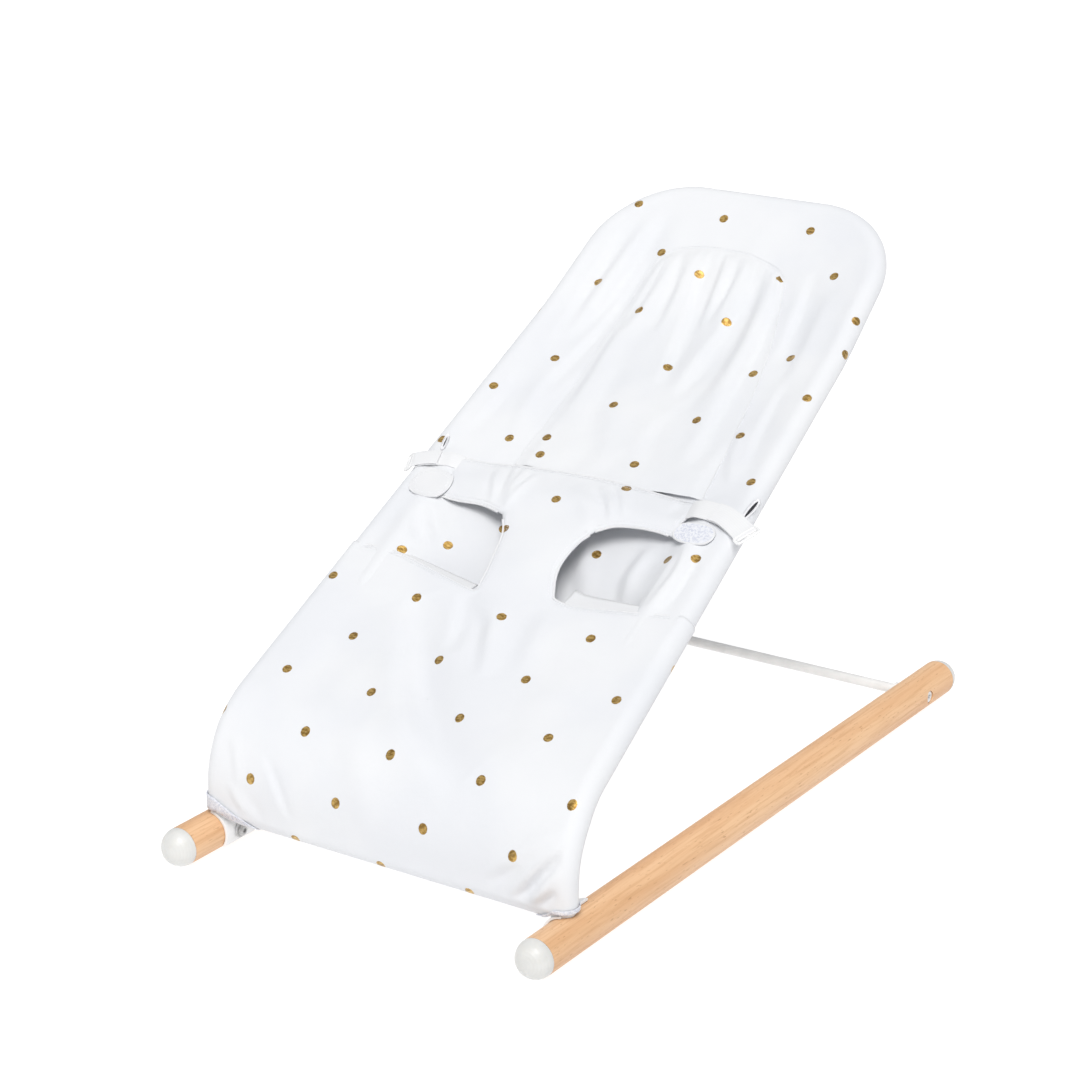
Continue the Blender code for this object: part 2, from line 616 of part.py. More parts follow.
def make_cover(seat_pivot):
    """The cover's sewn panels, each a plain sheet between the tubes."""
    def full(s):
        edge = panel_edge(s)
        return -edge, edge

    def pocket_height(x, s):
        part = (s - POCKET_S[0]) / (POCKET_S[1] - POCKET_S[0])
        across = 1 - (x / panel_edge(s)) ** 2
        return BACK_OFFSET - POCKET_DEPTH * math.sin(math.pi * part) ** 0.8 * across

    def back_height(x, s):
        part = (s - BACK_PANEL_S) / (PROFILE_LENGTH - TUBE_MARGIN - BACK_PANEL_S)
        across = 1 - (x / tube_x(s)) ** 2
        return BACK_OFFSET - BACK_SAG * math.sin(math.pi * part) * across

    def inset_height(x, s):
        return back_height(x, s) + (COVER_THICKNESS + INSET_THICKNESS) / 2 + GAP

    def inset_range(s):
        part = (s - INSET_S[0]) / (INSET_S[1] - INSET_S[0])
        half = INSET_HALF_WIDTH[0] + (INSET_HALF_WIDTH[1] - INSET_HALF_WIDTH[0]) * part
        return -half, half

    def bridge_range(s):
        part = (s - LEG_HOLE_S[0]) / (LEG_HOLE_S[1] - LEG_HOLE_S[0])
        half = BRIDGE_HALF_WIDTH + BRIDGE_FLARE * (2 * part - 1) ** 2
        return -half, half

    top = PROFILE_LENGTH - TUBE_MARGIN
    pieces = [
        panel("front_panel", "cover_fabric", FRONT_PANEL_S, full, level(FRONT_HEIGHT),
              COVER_THICKNESS, 16, 8),
        panel("crotch_bridge", "cover_fabric", (LEG_HOLE_S[0] + GAP, LEG_HOLE_S[1]), bridge_range,
              level(BELT_HEIGHT), COVER_THICKNESS, 6, 2),
        panel("waist_belt", "cover_fabric", BELT_S, lambda s: (-BELT_HALF_WIDTH, BELT_HALF_WIDTH),
              level(BELT_HEIGHT), COVER_THICKNESS, 3, 8),
        panel("seat_pocket", "pocket_fabric", POCKET_S, full, pocket_height, COVER_THICKNESS, 16, 14),
        panel("back_panel", "cover_fabric", (BACK_PANEL_S, top), full, back_height,
              COVER_THICKNESS, 18, 12),
        panel("inset_panel", "inset_fabric", INSET_S, inset_range, inset_height,
              INSET_THICKNESS, 10, 8),
    ]
    for name, side in SIDES.items():
        def strip_range(s, side=side):
            return tuple(sorted((side * LEG_HOLE_OUTER_X, side * panel_edge(s))))

        pieces.append(panel(
            "side_strip_" + name, "cover_fabric", (LEG_HOLE_S[0] + GAP, BACK_PANEL_S - 0.001),
            strip_range, level(SIDE_STRIP_HEIGHT), COVER_THICKNESS, 6, 1,
        ))
        pieces.append(strip(f"strap_{name}", "webbing", side, STRAP_X, STRAP_HEIGHT))
    for piece in pieces:
        hang(piece, seat_pivot)


def strip(name, finish, side, x_range, height):
    """A straight length of webbing across the seat's side."""
    ends = tuple(sorted((side * x_range[0], side * x_range[1])))
    return panel(name, finish, STRAP_S, lambda s: ends, level(height), STRAP_THICKNESS, 1, 2)


def make_fastenings():
    """At each side, the tab that peels up and the strap's tail, which pulls outwards to tighten."""
    for name, side in SIDES.items():
        tab_middle = side * sum(TAB_X) / 2
        tab_pivot = pivot(f"tab_{name}_pivot", seat_point(tab_middle, TAB_S[1], TAB_HEIGHT))

        def tab_range(s, low=side * TAB_X[0], high=side * TAB_X[1]):
            """The tab narrows towards its free end, with round corners."""
            part = (s - TAB_S[0]) / (TAB_S[1] - TAB_S[0])
            inset = math.copysign(TAB_TAPER * (1 - part) ** 2, high)
            return tuple(sorted((low + inset, high - inset)))

        tab = panel(f"tab_{name}", "hook_tape", TAB_S, tab_range, level(TAB_HEIGHT),
                    TAB_THICKNESS, 6, 2)
        hang(tab, tab_pivot)
        tail_pivot = pivot(f"tail_{name}_pivot", seat_point(side * STRAP_X[1], sum(STRAP_S) / 2, TAIL_HEIGHT))
        tail = strip(f"strap_tail_{name}", "webbing", side, (STRAP_X[0] + 0.004, STRAP_X[1]), TAIL_HEIGHT)
        ends = tuple(sorted((side * CLIP_X[0], side * CLIP_X[1])))
        clip = panel(f"tail_clip_{name}", "white_plastic", (STRAP_S[0] - 0.001, STRAP_S[1] + 0.001),
                     lambda s, ends=ends: ends, level(TAIL_HEIGHT), CLIP_THICKNESS, 2, 2)
        hang(tail, tail_pivot)
        hang(clip, tail_pivot)


PROFILE_LENGTH = profile_lengths()[0][-1]

clear_scene()
MATERIALS = make_finishes()
for side_name, side_sign in SIDES.items():
    make_runner(side_name, side_sign)
    make_end_cap("front_" + side_name, side_sign, -1)
    make_end_cap("rear_" + side_name, side_sign, 1)
    make_foot(side_name, side_sign)
make_crossbar()
make_base_soft_parts()
seat_origin = pivot("seat_pivot", (0, FOOT_Y, PIVOT_Z))
make_frame(seat_origin)
make_cover(seat_origin)
make_fastenings()
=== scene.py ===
"""The looks of a baby bouncer seat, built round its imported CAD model.

The cover is made of sheets. Each is laid out flat first: x across the seat, s up its side
profile, and h in front of the plane through the centre lines of the frame's side tubes.
All lengths are in metres.
"""

import math

import bpy
import numpy as np
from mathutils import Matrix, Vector


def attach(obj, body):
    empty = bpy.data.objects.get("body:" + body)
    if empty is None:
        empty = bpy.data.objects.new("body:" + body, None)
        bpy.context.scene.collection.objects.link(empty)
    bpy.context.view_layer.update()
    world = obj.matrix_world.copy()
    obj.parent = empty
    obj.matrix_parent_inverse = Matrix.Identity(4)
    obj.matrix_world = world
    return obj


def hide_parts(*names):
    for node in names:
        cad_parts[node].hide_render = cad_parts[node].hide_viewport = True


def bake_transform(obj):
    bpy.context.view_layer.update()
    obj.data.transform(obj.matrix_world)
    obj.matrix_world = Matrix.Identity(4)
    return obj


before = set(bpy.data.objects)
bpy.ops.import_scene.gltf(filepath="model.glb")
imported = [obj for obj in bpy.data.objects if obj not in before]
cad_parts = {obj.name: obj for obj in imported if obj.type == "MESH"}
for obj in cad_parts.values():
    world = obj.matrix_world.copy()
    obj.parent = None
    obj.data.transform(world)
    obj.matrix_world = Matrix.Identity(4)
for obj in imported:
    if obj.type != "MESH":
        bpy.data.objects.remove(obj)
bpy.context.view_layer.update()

# The frame's tubes, as the CAD has them
FOOT_Y = -0.312
START_Z = 0.038  # where s is 0
LEG_X = 0.1805
KNEE = (FOOT_Y, 0.1106)
KNEE_RADIUS = 0.090
SHOULDER_X = 0.155
SHOULDER = (0.1815, 0.390)
SHOULDER_RADIUS = 0.300
CROWN_X = 0.146
CROWN = (0.316, 0.485)
CROWN_RADIUS = 0.085
CROSS_TUBE_Z = 0.039

# The cover
SLING_RADIUS = 0.0113  # of the sling's sleeve round a tube, outside
FRONT_RADIUS = 0.0128  # of the front piece's sleeve, which lies over the sling's
CLOTH_THICKNESS = 0.0011  # of the sling
FRONT_THICKNESS = 0.0014
TAPE_THICKNESS = 0.0009
HEM_WIDTH = 0.026  # of a sleeve's hem, behind its leg
BOW_HEM_WIDTH = 0.036
HEM_GAP = 0.0016  # from a hem's inner edge to the back of the sheet
WRAP_COLUMNS = 13  # of a sleeve's grid, half way round its tube
DOT_RADIUS = 0.0044
SIDES = {"left": -1, "right": 1}

SLOPE = math.atan2(SHOULDER[1] - KNEE[1], SHOULDER[0] - KNEE[0])
HEAD_SLOPE = math.atan2(CROWN[1] - SHOULDER[1], CROWN[0] - SHOULDER[0])
KNEE_TURN = math.pi / 2 - SLOPE
SHOULDER_TURN = HEAD_SLOPE - SLOPE
KNEE_REACH = KNEE_RADIUS * math.tan(KNEE_TURN / 2)
SHOULDER_REACH = SHOULDER_RADIUS * math.tan(SHOULDER_TURN / 2)
RISE = KNEE[1] - KNEE_REACH - START_Z
BEND = RISE + KNEE_RADIUS * KNEE_TURN
RUN = BEND + math.dist(KNEE, SHOULDER) - KNEE_REACH - SHOULDER_REACH
LIFT = RUN + SHOULDER_RADIUS * SHOULDER_TURN
TOP = LIFT + math.dist(SHOULDER, CROWN) - SHOULDER_REACH


# ---------------------------------------------------------------- the seat's shape


def side_profile(s):
    """The profile's y, z and slope at the distances s."""
    s = np.asarray(s, float)
    knee = np.clip((s - RISE) / KNEE_RADIUS, 0, KNEE_TURN)
    run = np.clip(s - BEND, 0, RUN - BEND)
    shoulder = np.clip((s - RUN) / SHOULDER_RADIUS, 0, SHOULDER_TURN)
    head = np.maximum(s - LIFT, 0)
    y = FOOT_Y + KNEE_RADIUS * (1 - np.cos(knee)) + run * math.cos(SLOPE)
    y = y + SHOULDER_RADIUS * (np.sin(SLOPE + shoulder) - math.sin(SLOPE)) + head * math.cos(HEAD_SLOPE)
    z = START_Z + np.minimum(s, RISE) + KNEE_RADIUS * np.sin(knee) + run * math.sin(SLOPE)
    z = z + SHOULDER_RADIUS * (math.cos(SLOPE) - np.cos(SLOPE + shoulder)) + head * math.sin(HEAD_SLOPE)
    return y, z, math.pi / 2 - knee + shoulder


def tube_x(s):
    """How far a side tube's centre line is from the middle."""
    z = side_profile(s)[1]
    return np.interp(z, (KNEE[1], SHOULDER[1], CROWN[1]), (LEG_X, SHOULDER_X, CROWN_X))


def seat(x, s, h):
    """Points of the seat in space."""
    x, s, h = np.broadcast_arrays(*(np.asarray(v, float) for v in (x, s, h)))
    y, z, slope = side_profile(s)
    return np.stack([x, y - h * np.sin(slope), z + h * np.cos(slope)], axis=-1)


def smooth(value, low, high):
    """0 below low, 1 above high, and an even curve between them."""
    part = np.clip((np.asarray(value, float) - low) / (high - low), 0, 1)
    return part * part * (3 - 2 * part)


def distance_along(line):
    """How far each point of a line is from its start."""
    return np.r_[0, np.cumsum(np.linalg.norm(np.diff(line, axis=0), axis=1))]


def sideways(line):
    """Unit directions square to a flat line, to the left of the way it runs."""
    step = np.gradient(line, axis=0)
    normal = np.stack([-step[:, 1], step[:, 0]], axis=-1)
    return normal / np.linalg.norm(normal, axis=1)[:, None]


def through(points, count):
    """count points on a smooth curve through the given ones, evenly spaced along it."""
    points = np.asarray(points, float)
    ends = np.vstack([2 * points[0] - points[1], points, 2 * points[-1] - points[-2]])
    t = np.linspace(0, 1, 24, endpoint=False)[:, None]
    fine = []
    for a, b, c, d in zip(ends, ends[1:], ends[2:], ends[3:]):
        fine.append(
            0.5 * (2 * b + (c - a) * t + (2 * a - 5 * b + 4 * c - d) * t**2
                   + (3 * b - a - 3 * c + d) * t**3)
        )
    fine = np.vstack(fine + [points[-1:]])
    length = distance_along(fine)
    at = np.linspace(0, length[-1], count)
    return np.stack([np.interp(at, length, fine[:, k]) for k in range(fine.shape[1])], axis=-1)


def fold(x, s, points, width, height, lean=0.0):
    """A crease along a line: a soft ridge, with a dip on one side of it if lean isn't 0."""
    steps = 39
    line = through(points, steps + 1)
    share = np.linspace(0, 1, steps + 1)
    across = np.full(np.shape(x), 1e3)
    along = np.zeros(np.shape(x))
    side = np.zeros(np.shape(x))
    for k in range(steps):
        run = line[k + 1] - line[k]
        part = np.clip(((x - line[k, 0]) * run[0] + (s - line[k, 1]) * run[1]) / (run @ run), 0, 1)
        dx = x - (line[k, 0] + part * run[0])
        ds = s - (line[k, 1] + part * run[1])
        distance = np.hypot(dx, ds)
        nearer = distance < across
        across = np.where(nearer, distance, across)
        along = np.where(nearer, share[k] + part / steps, along)
        side = np.where(nearer, np.sign(run[0] * ds - run[1] * dx), side)
    ridge = np.exp(-((across / width) ** 2))
    dip = lean * side * (across / width) * np.exp(-((across / (1.5 * width)) ** 2))
    return height * (ridge + dip) * np.sin(math.pi * np.clip(along, 0, 1)) ** 0.7


def creased(height, x, s, folds, share=1.0):
    """The height with a list of folds added, each scaled by share."""
    for points, width, rise, lean in folds:
        height = height + fold(x, s, points, width, rise, lean) * share
    return height


def ripples(x, s, seed, size, height):
    """Soft unevenness, made of a few crossing waves."""
    draw = np.random.default_rng(seed)
    total = np.zeros(np.shape(x))
    for _ in range(7):
        heading = draw.uniform(0, math.pi)
        phase = draw.uniform(0, 2 * math.pi)
        scale = draw.uniform(0.6, 1.7)
        wave = (x * math.cos(heading) + s * math.sin(heading)) * 2 * math.pi / (size * scale)
        total += np.sin(wave + phase + 1.3 * np.sin(0.37 * wave + 2.1 * phase))
    return height * total / 7


# ---------------------------------------------------------------- meshes


def new_object(name, points, faces, material):
    mesh = bpy.data.meshes.new(name)
    mesh.from_pydata([tuple(p) for p in points], [], faces)
    mesh.update()
    mesh.shade_smooth()
    obj = bpy.data.objects.new(name, mesh)
    bpy.context.scene.collection.objects.link(obj)
    obj.data.materials.append(material)
    return obj


def dot_rows(rows, x_at, s_at, pitch_at):
    """Dot centres in rows: row k is at s_at(k), and its dots are pitch_at(k) apart from x_at(k) on."""
    return np.array([(x_at(k) + pitch_at(k) * m, s_at(k)) for k in rows for m in range(-4, 5)])


def sheet_object(name, points, flat, keep, material, dots=None, close=None):
    """A sheet from a grid of points. flat gives its cloth coordinates, and keep the cells it has."""
    rows, columns = points.shape[:2]
    index = np.arange(rows * columns).reshape(rows, columns)
    place = points.reshape(-1, 3)
    if close is not None:  # merges grid points that meet, such as along the middle
        index = close[index]
    faces = []
    cells = []
    for i in range(rows - 1):
        for j in range(columns - 1):
            if keep is None or keep[i, j]:
                face = [index[i, j], index[i, j + 1], index[i + 1, j + 1], index[i + 1, j]]
                if len(set(face)) == 4:
                    faces.append(face)
                    cells.append([(i, j), (i, j + 1), (i + 1, j + 1), (i + 1, j)])
    used = np.unique(np.array(faces))
    number = np.full(rows * columns, -1)
    number[used] = np.arange(len(used))
    obj = new_object(name, place[used], [[int(number[v]) for v in face] for face in faces], material)
    mesh = obj.data
    corners = np.array([[flat[i, j] for i, j in cell] for cell in cells], float)
    cloth = mesh.uv_layers.new(name="cloth")
    cloth.data.foreach_set("uv", corners.reshape(-1).astype(np.float32))
    near = np.ones_like(corners)
    if dots is not None and len(dots):
        middle = corners.mean(axis=1)
        apart = np.linalg.norm(middle[:, None, :] - dots[None, :, :], axis=2)
        nearest = apart.argmin(axis=1)
        close_by = apart.min(axis=1) < 3 * DOT_RADIUS
        near[close_by] = corners[close_by] - dots[nearest[close_by]][:, None, :]
    layer = mesh.uv_layers.new(name="dot")
    layer.data.foreach_set("uv", near.reshape(-1).astype(np.float32))
    return obj


def thicken(obj, thickness, offset=-1.0):
    """Gives a sheet a thickness, behind it if offset is -1 and to both sides if it is 0."""
    solidify = obj.modifiers.new("thickness", "SOLIDIFY")
    solidify.thickness = thickness
    solidify.offset = offset
    solidify.use_rim = True
    return obj


def bake(obj):
    """Applies an object's modifiers to its mesh."""
    graph = bpy.context.evaluated_depsgraph_get()
    mesh = bpy.data.meshes.new_from_object(obj.evaluated_get(graph), depsgraph=graph)
    old = obj.data
    obj.modifiers.clear()
    obj.data = mesh
    bpy.data.meshes.remove(old)
    mesh.name = obj.name
    return obj


def frames(line):
    """Tangents and two cross directions along a line of points, turning as little as possible."""
    line = np.asarray(line, float)
    tangent = np.gradient(line, axis=0)
    tangent /= np.linalg.norm(tangent, axis=1)[:, None]
    start = np.array([0, 0, 1.0]) if abs(tangent[0, 2]) < 0.9 else np.array([1.0, 0, 0])
    first = np.cross(tangent[0], start)
    first /= np.linalg.norm(first)
    cross = [first]
    for step in tangent[1:]:
        turned = cross[-1] - step * (cross[-1] @ step)
        cross.append(turned / np.linalg.norm(turned))
    cross = np.array(cross)
    return tangent, cross, np.cross(tangent, cross)


def ring(middle, one, two, radius, sides, flatten=1.0):
    """Points round a place, in the plane of two directions."""
    angles = np.arange(sides) * 2 * math.pi / sides
    return [middle + radius * (math.cos(a) * one + flatten * math.sin(a) * two) for a in angles]


def tube_faces(rings, sides, base=0, closed=False):
    """The faces of a tube of rings of points. It is closed in a loop, or open at its ends."""
    faces = []
    for k in range(rings if closed else rings - 1):
        here, there = base + k * sides, base + (k + 1) % rings * sides
        for a in range(sides):
            b = (a + 1) % sides
            faces.append([here + a, here + b, there + b, there + a])
    return faces


def end_faces(rings, sides, base=0):
    """The faces that close the two ends of a tube."""
    first = [base + a for a in range(sides)]
    return [first[::-1], [(rings - 1) * sides + point for point in first]]


def rod(name, line, radius, material, flatten=1.0, sides=8, closed=False):
    """A round or flattened cord of cloth, thread or plastic along a line of points."""
    line = np.asarray(line, float)
    _, one, two = frames(line)
    points = []
    for middle, a, b in zip(line, one, two):
        points += ring(middle, a, b, radius, sides, flatten)
    faces = tube_faces(len(line), sides, closed=closed)
    if not closed:
        faces += end_faces(len(line), sides)
    obj = new_object(name, points, faces, material)
    run = distance_along(line)
    girth = 2 * math.pi * radius / sides
    layer = obj.data.uv_layers.new(name="cloth")
    for loop in obj.data.loops:
        row, spoke = divmod(loop.vertex_index, sides)
        layer.data[loop.index].uv = (run[row], girth * min(spoke, sides - spoke))
    return obj


# ---------------------------------------------------------------- materials


class Nodes:
    """A short way to write a material's nodes."""

    def __init__(self, name):
        self.material = bpy.data.materials.new(name)
        self.material.use_nodes = True
        self.tree = self.material.node_tree
        self.shader = self.tree.nodes["Principled BSDF"]
        self.place = self.add("ShaderNodeTexCoord").outputs["Object"]

    def add(self, kind, inputs=None, **settings):
        node = self.tree.nodes.new(kind)
        for key, value in settings.items():
            setattr(node, key, value)
        for key, value in (inputs or {}).items():
            self.set(node.inputs[key], value)
        return node

    def set(self, socket, value):
        """Links a value from another node, or writes a plain one."""
        if isinstance(value, bpy.types.NodeSocket):
            self.tree.links.new(value, socket)
        else:
            socket.default_value = value

    def math(self, operation, *values):
        node = self.add("ShaderNodeMath", operation=operation)
        for socket, value in zip(node.inputs, values):
            self.set(socket, value)
        return node.outputs[0]

    def wave(self, value, pitch):
        return self.math("SINE", self.math("MULTIPLY", value, 2 * math.pi / pitch))

    def cloth(self):
        """The cloth coordinates, and the two of them apart."""
        both = self.add("ShaderNodeUVMap", uv_map="cloth").outputs[0]
        split = self.add("ShaderNodeSeparateXYZ", {0: both})
        return both, split.outputs[0], split.outputs[1]

    def mix(self, factor, a, b):
        """Colours a and b, mixed by a factor."""
        a, b = (c if isinstance(c, bpy.types.NodeSocket) else (*c, 1) for c in (a, b))
        return self.add("ShaderNodeMix", {0: factor, 6: a, 7: b}, data_type="RGBA").outputs[2]

    def ramp(self, value, low, high):
        """0 where the value is low, 1 where it is high, and an even curve between them."""
        return self.add("ShaderNodeMapRange", {0: value, 1: low, 2: high}, clamp=True,
                        interpolation_type="SMOOTHSTEP").outputs[0]

    def noise(self, vector, scale, detail=3.0, rough=0.5):
        return self.add("ShaderNodeTexNoise", {"Vector": vector, "Scale": scale, "Detail": detail,
                                               "Roughness": rough}).outputs[0]

    def scaled(self, vector, scale):
        return self.add("ShaderNodeVectorMath", {0: vector, 1: scale}, operation="MULTIPLY").outputs[0]

    def bump(self, height, distance, strength, under=None):
        sockets = {"Height": height, "Distance": distance, "Strength": strength}
        if under is not None:
            sockets["Normal"] = under
        return self.add("ShaderNodeBump", sockets).outputs[0]

    def finish(self, **inputs):
        for key, value in inputs.items():
            self.set(self.shader.inputs[key.replace("_", " ")], value)
        return self.material


THREAD_PITCH = 0.00075  # from one thread of the cotton to the next


def cloth_material(name, colour, shade, dots=True, crumple=1.0):
    """Soft plain-woven cotton with woven threads, fine crumples and, on some pieces, foil dots."""
    n = Nodes(name)
    cloth, across, along = n.cloth()
    threads = n.math("MULTIPLY", n.wave(across, THREAD_PITCH), n.wave(along, THREAD_PITCH))
    slubs = n.noise(n.scaled(cloth, (900, 60, 1)), 1.0, 2.0)
    fine = n.noise(n.place, 900.0, 2.0)
    weave_height = n.math("ADD", n.math("MULTIPLY", threads, 0.5), n.math("MULTIPLY", slubs, 0.8))
    soft = n.noise(n.place, 55.0, 4.0, 0.55)
    crease = n.noise(n.scaled(n.place, (1, 0.55, 0.55)), 26.0, 3.0, 0.45)
    normal = n.bump(crease, 0.0020 * crumple, 0.5)
    normal = n.bump(soft, 0.0009 * crumple, 0.5, normal)
    normal = n.bump(weave_height, 0.00006, 0.6, normal)
    patches = n.ramp(n.noise(n.place, 9.0, 3.0), 0.35, 0.65)
    tone = n.mix(patches, colour, shade)
    tone = n.mix(n.math("MULTIPLY", fine, 0.10), tone, tuple(0.86 * c for c in shade))
    rough = n.math("ADD", 0.82, n.math("MULTIPLY", slubs, 0.12))
    sheen = {"Sheen_Weight": 0.25, "Sheen_Roughness": 0.5}
    if not dots:
        return n.finish(Base_Color=tone, Roughness=rough, Normal=normal, **sheen)
    dot = n.add("ShaderNodeUVMap", uv_map="dot").outputs[0]
    reach = n.add("ShaderNodeVectorMath", {0: dot}, operation="LENGTH")
    ragged = n.math("MULTIPLY", n.math("SUBTRACT", n.noise(n.place, 1100.0, 2.0), 0.5), 0.0007)
    from_middle = n.math("ADD", reach.outputs["Value"], ragged)
    foil = n.ramp(from_middle, DOT_RADIUS + 0.00022, DOT_RADIUS - 0.00012)
    worn = n.ramp(n.noise(n.place, 700.0, 3.0, 0.7), 0.63, 0.72)
    foil = n.math("MULTIPLY", foil, n.math("SUBTRACT", 1.0, n.math("MULTIPLY", worn, 0.35)))
    # Painted glints: streaks of lighter and darker gold across the dots stand in for the foil's reflections
    foil_glint = n.ramp(n.noise(n.scaled(n.place, (1.0, 2.4, 1.0)), 260.0, 2.0), 0.35, 0.66)
    gold = n.mix(foil_glint, (0.30, 0.165, 0.030), (0.66, 0.43, 0.13))
    return n.finish(
        Base_Color=n.mix(foil, tone, gold),
        Roughness=n.math("ADD", n.math("MULTIPLY", rough, n.math("SUBTRACT", 1.0, foil)),
                         n.math("MULTIPLY", foil, 0.34)),
        Metallic=n.math("MULTIPLY", foil, 0.78),
        Normal=n.bump(foil, 0.00012, 0.5, normal),
        **sheen,
    )


def wood_material():
    """Oiled beech: long grain, short darker flecks and faint bands, all along the runner."""
    n = Nodes("beech_finish")
    drift = n.add("ShaderNodeTexNoise", {"Vector": n.scaled(n.place, (1, 0.12, 1)), "Scale": 30.0}).outputs[1]
    drift = n.scaled(drift, (0.006, 0.02, 0.006))
    warped = n.add("ShaderNodeVectorMath", {0: n.place, 1: drift}, operation="ADD").outputs[0]
    grain = n.noise(n.scaled(warped, (1, 0.035, 1)), 420.0, 5.0, 0.62)
    band = n.noise(n.scaled(warped, (1, 0.045, 1)), 75.0)
    fleck = n.noise(n.scaled(n.place, (1, 0.13, 1)), 900.0, 1.0)
    tone = n.mix(n.ramp(band, 0.32, 0.68), (0.830, 0.530, 0.305), (0.740, 0.430, 0.225))
    tone = n.mix(n.math("MULTIPLY", n.ramp(grain, 0.42, 0.72), 0.55), tone, (0.60, 0.310, 0.140))
    tone = n.mix(n.math("MULTIPLY", n.ramp(fleck, 0.66, 0.76), 0.60), tone, (0.42, 0.190, 0.075))
    normal = n.bump(grain, 0.00022, 0.35)
    normal = n.bump(fleck, 0.00010, 0.25, normal)
    rough = n.math("ADD", 0.40, n.math("MULTIPLY", grain, 0.20))
    return n.finish(Base_Color=tone, Roughness=rough, Normal=normal, Coat_Weight=0.12,
                    Coat_Roughness=0.35)


def hard_material(name, colour, roughness, metallic=0.0, grain=900.0, depth=0.00004, wear=0.06,
                  coat=0.0, subsurface=0.0):
    """Moulded, coated or plated stock with a fine surface, faint blotches and rubbed places."""
    n = Nodes(name)
    fine = n.noise(n.place, grain, 3.0)
    blotch = n.noise(n.place, 60.0, 4.0)
    dark = tuple(c * (1 - 2.2 * wear) for c in colour)
    tone = n.mix(n.ramp(blotch, 0.35, 0.65), colour, dark)
    rough = n.math("ADD", roughness - 0.05, n.math("MULTIPLY", blotch, 0.12))
    settings = {"Metallic": metallic, "Coat_Weight": coat, "Coat_Roughness": 0.2}
    if subsurface:
        settings.update(Subsurface_Weight=subsurface, Subsurface_Scale=0.006,
                        Subsurface_Radius=(1.0, 0.9, 0.8))
    return n.finish(Base_Color=tone, Roughness=rough, Normal=n.bump(fine, depth, 0.5), **settings)


def webbing_material():
    """Satin-faced tape with fine cross ribs and a bright edge cord."""
    n = Nodes("webbing_finish")
    _, along, across = n.cloth()
    rib = n.wave(along, 0.0009)
    cord = n.wave(across, 0.0021)
    height = n.math("ADD", n.math("MULTIPLY", rib, 0.6), n.math("MULTIPLY", cord, 0.4))
    tone = n.mix(n.ramp(cord, -1.0, 1.0), (0.810, 0.812, 0.825), (0.830, 0.832, 0.842))
    tone = n.mix(n.math("MULTIPLY", n.noise(n.place, 90.0), 0.50), tone, (0.74, 0.74, 0.76))
    return n.finish(Base_Color=tone, Roughness=0.38, Normal=n.bump(height, 0.00002, 0.4),
                    Sheen_Weight=0.3, Sheen_Roughness=0.35)


def hook_material():
    """The hook side of a touch fastener: rows of tiny stiff hooks on a blue-grey tape."""
    n = Nodes("hook_tape_finish")
    cells = n.add("ShaderNodeTexVoronoi", {"Vector": n.place, "Scale": 620.0, "Randomness": 0.55})
    hook = n.ramp(cells.outputs["Distance"], 0.46, 0.16)
    tone = n.mix(hook, (0.60, 0.62, 0.71), (0.87, 0.88, 0.90))
    tone = n.mix(n.ramp(n.noise(n.place, 420.0), 0.35, 0.65), tone, (0.80, 0.81, 0.85))
    return n.finish(Base_Color=tone, Roughness=0.62, Normal=n.bump(hook, 0.00018, 0.7))


def thread_material():
    n = Nodes("thread_finish")
    twist = n.noise(n.place, 2600.0, 2.0)
    tone = n.mix(twist, (0.94, 0.94, 0.95), (0.78, 0.78, 0.82))
    return n.finish(Base_Color=tone, Roughness=0.6, Normal=n.bump(twist, 0.0001, 0.5))


COTTON = cloth_material("cover_fabric_finish", (0.800, 0.806, 0.826), (0.762, 0.772, 0.804))
INSET = cloth_material("inset_fabric_finish", (0.800, 0.805, 0.822), (0.762, 0.772, 0.800), crumple=1.2)
PLAIN = cloth_material("hem_fabric_finish", (0.800, 0.802, 0.815), (0.768, 0.771, 0.790), dots=False)
WEBBING = webbing_material()
HOOKS = hook_material()
THREAD = thread_material()
BEECH = wood_material()
SILICONE = hard_material("silicone_finish", (0.73, 0.725, 0.705), 0.36, wear=0.03, grain=500.0,
                         depth=0.00003, subsurface=0.25)
WHITE_STEEL = hard_material("white_steel_finish", (0.80, 0.795, 0.785), 0.36, depth=0.00006, wear=0.03,
                            coat=0.2)
ZINC = hard_material("zinc_steel_finish", (0.76, 0.755, 0.75), 0.42, metallic=0.20, depth=0.00005,
                     wear=0.14)
BRASS = hard_material("brass_finish", (0.70, 0.53, 0.24), 0.34, metallic=1.0, wear=0.12)
WHITE_PLASTIC = hard_material("white_plastic_finish", (0.88, 0.88, 0.885), 0.34, wear=0.02,
                              depth=0.00003)
# A near-black patch painted as the shadow inside each slot, where the cloth is cut through
SLOT_SHADOW = hard_material("slot_shadow_finish", (0.035, 0.034, 0.040), 0.85)


# ---------------------------------------------------------------- the sling


POCKET_S = (0.150, 0.4270)
POCKET_DEPTH = 0.026
RIDGE_X = 0.131  # where the strip beside a leg hole folds down into the pocket
BACK_S = 0.440
FAN_S = TOP - CROWN_X + 0.010
FAN_LENGTH = 0.050
BOW_HEM_S = 0.45  # above this the sleeve has its wider hem
BACK_COLUMNS, FACE_COLUMNS = 8, 53


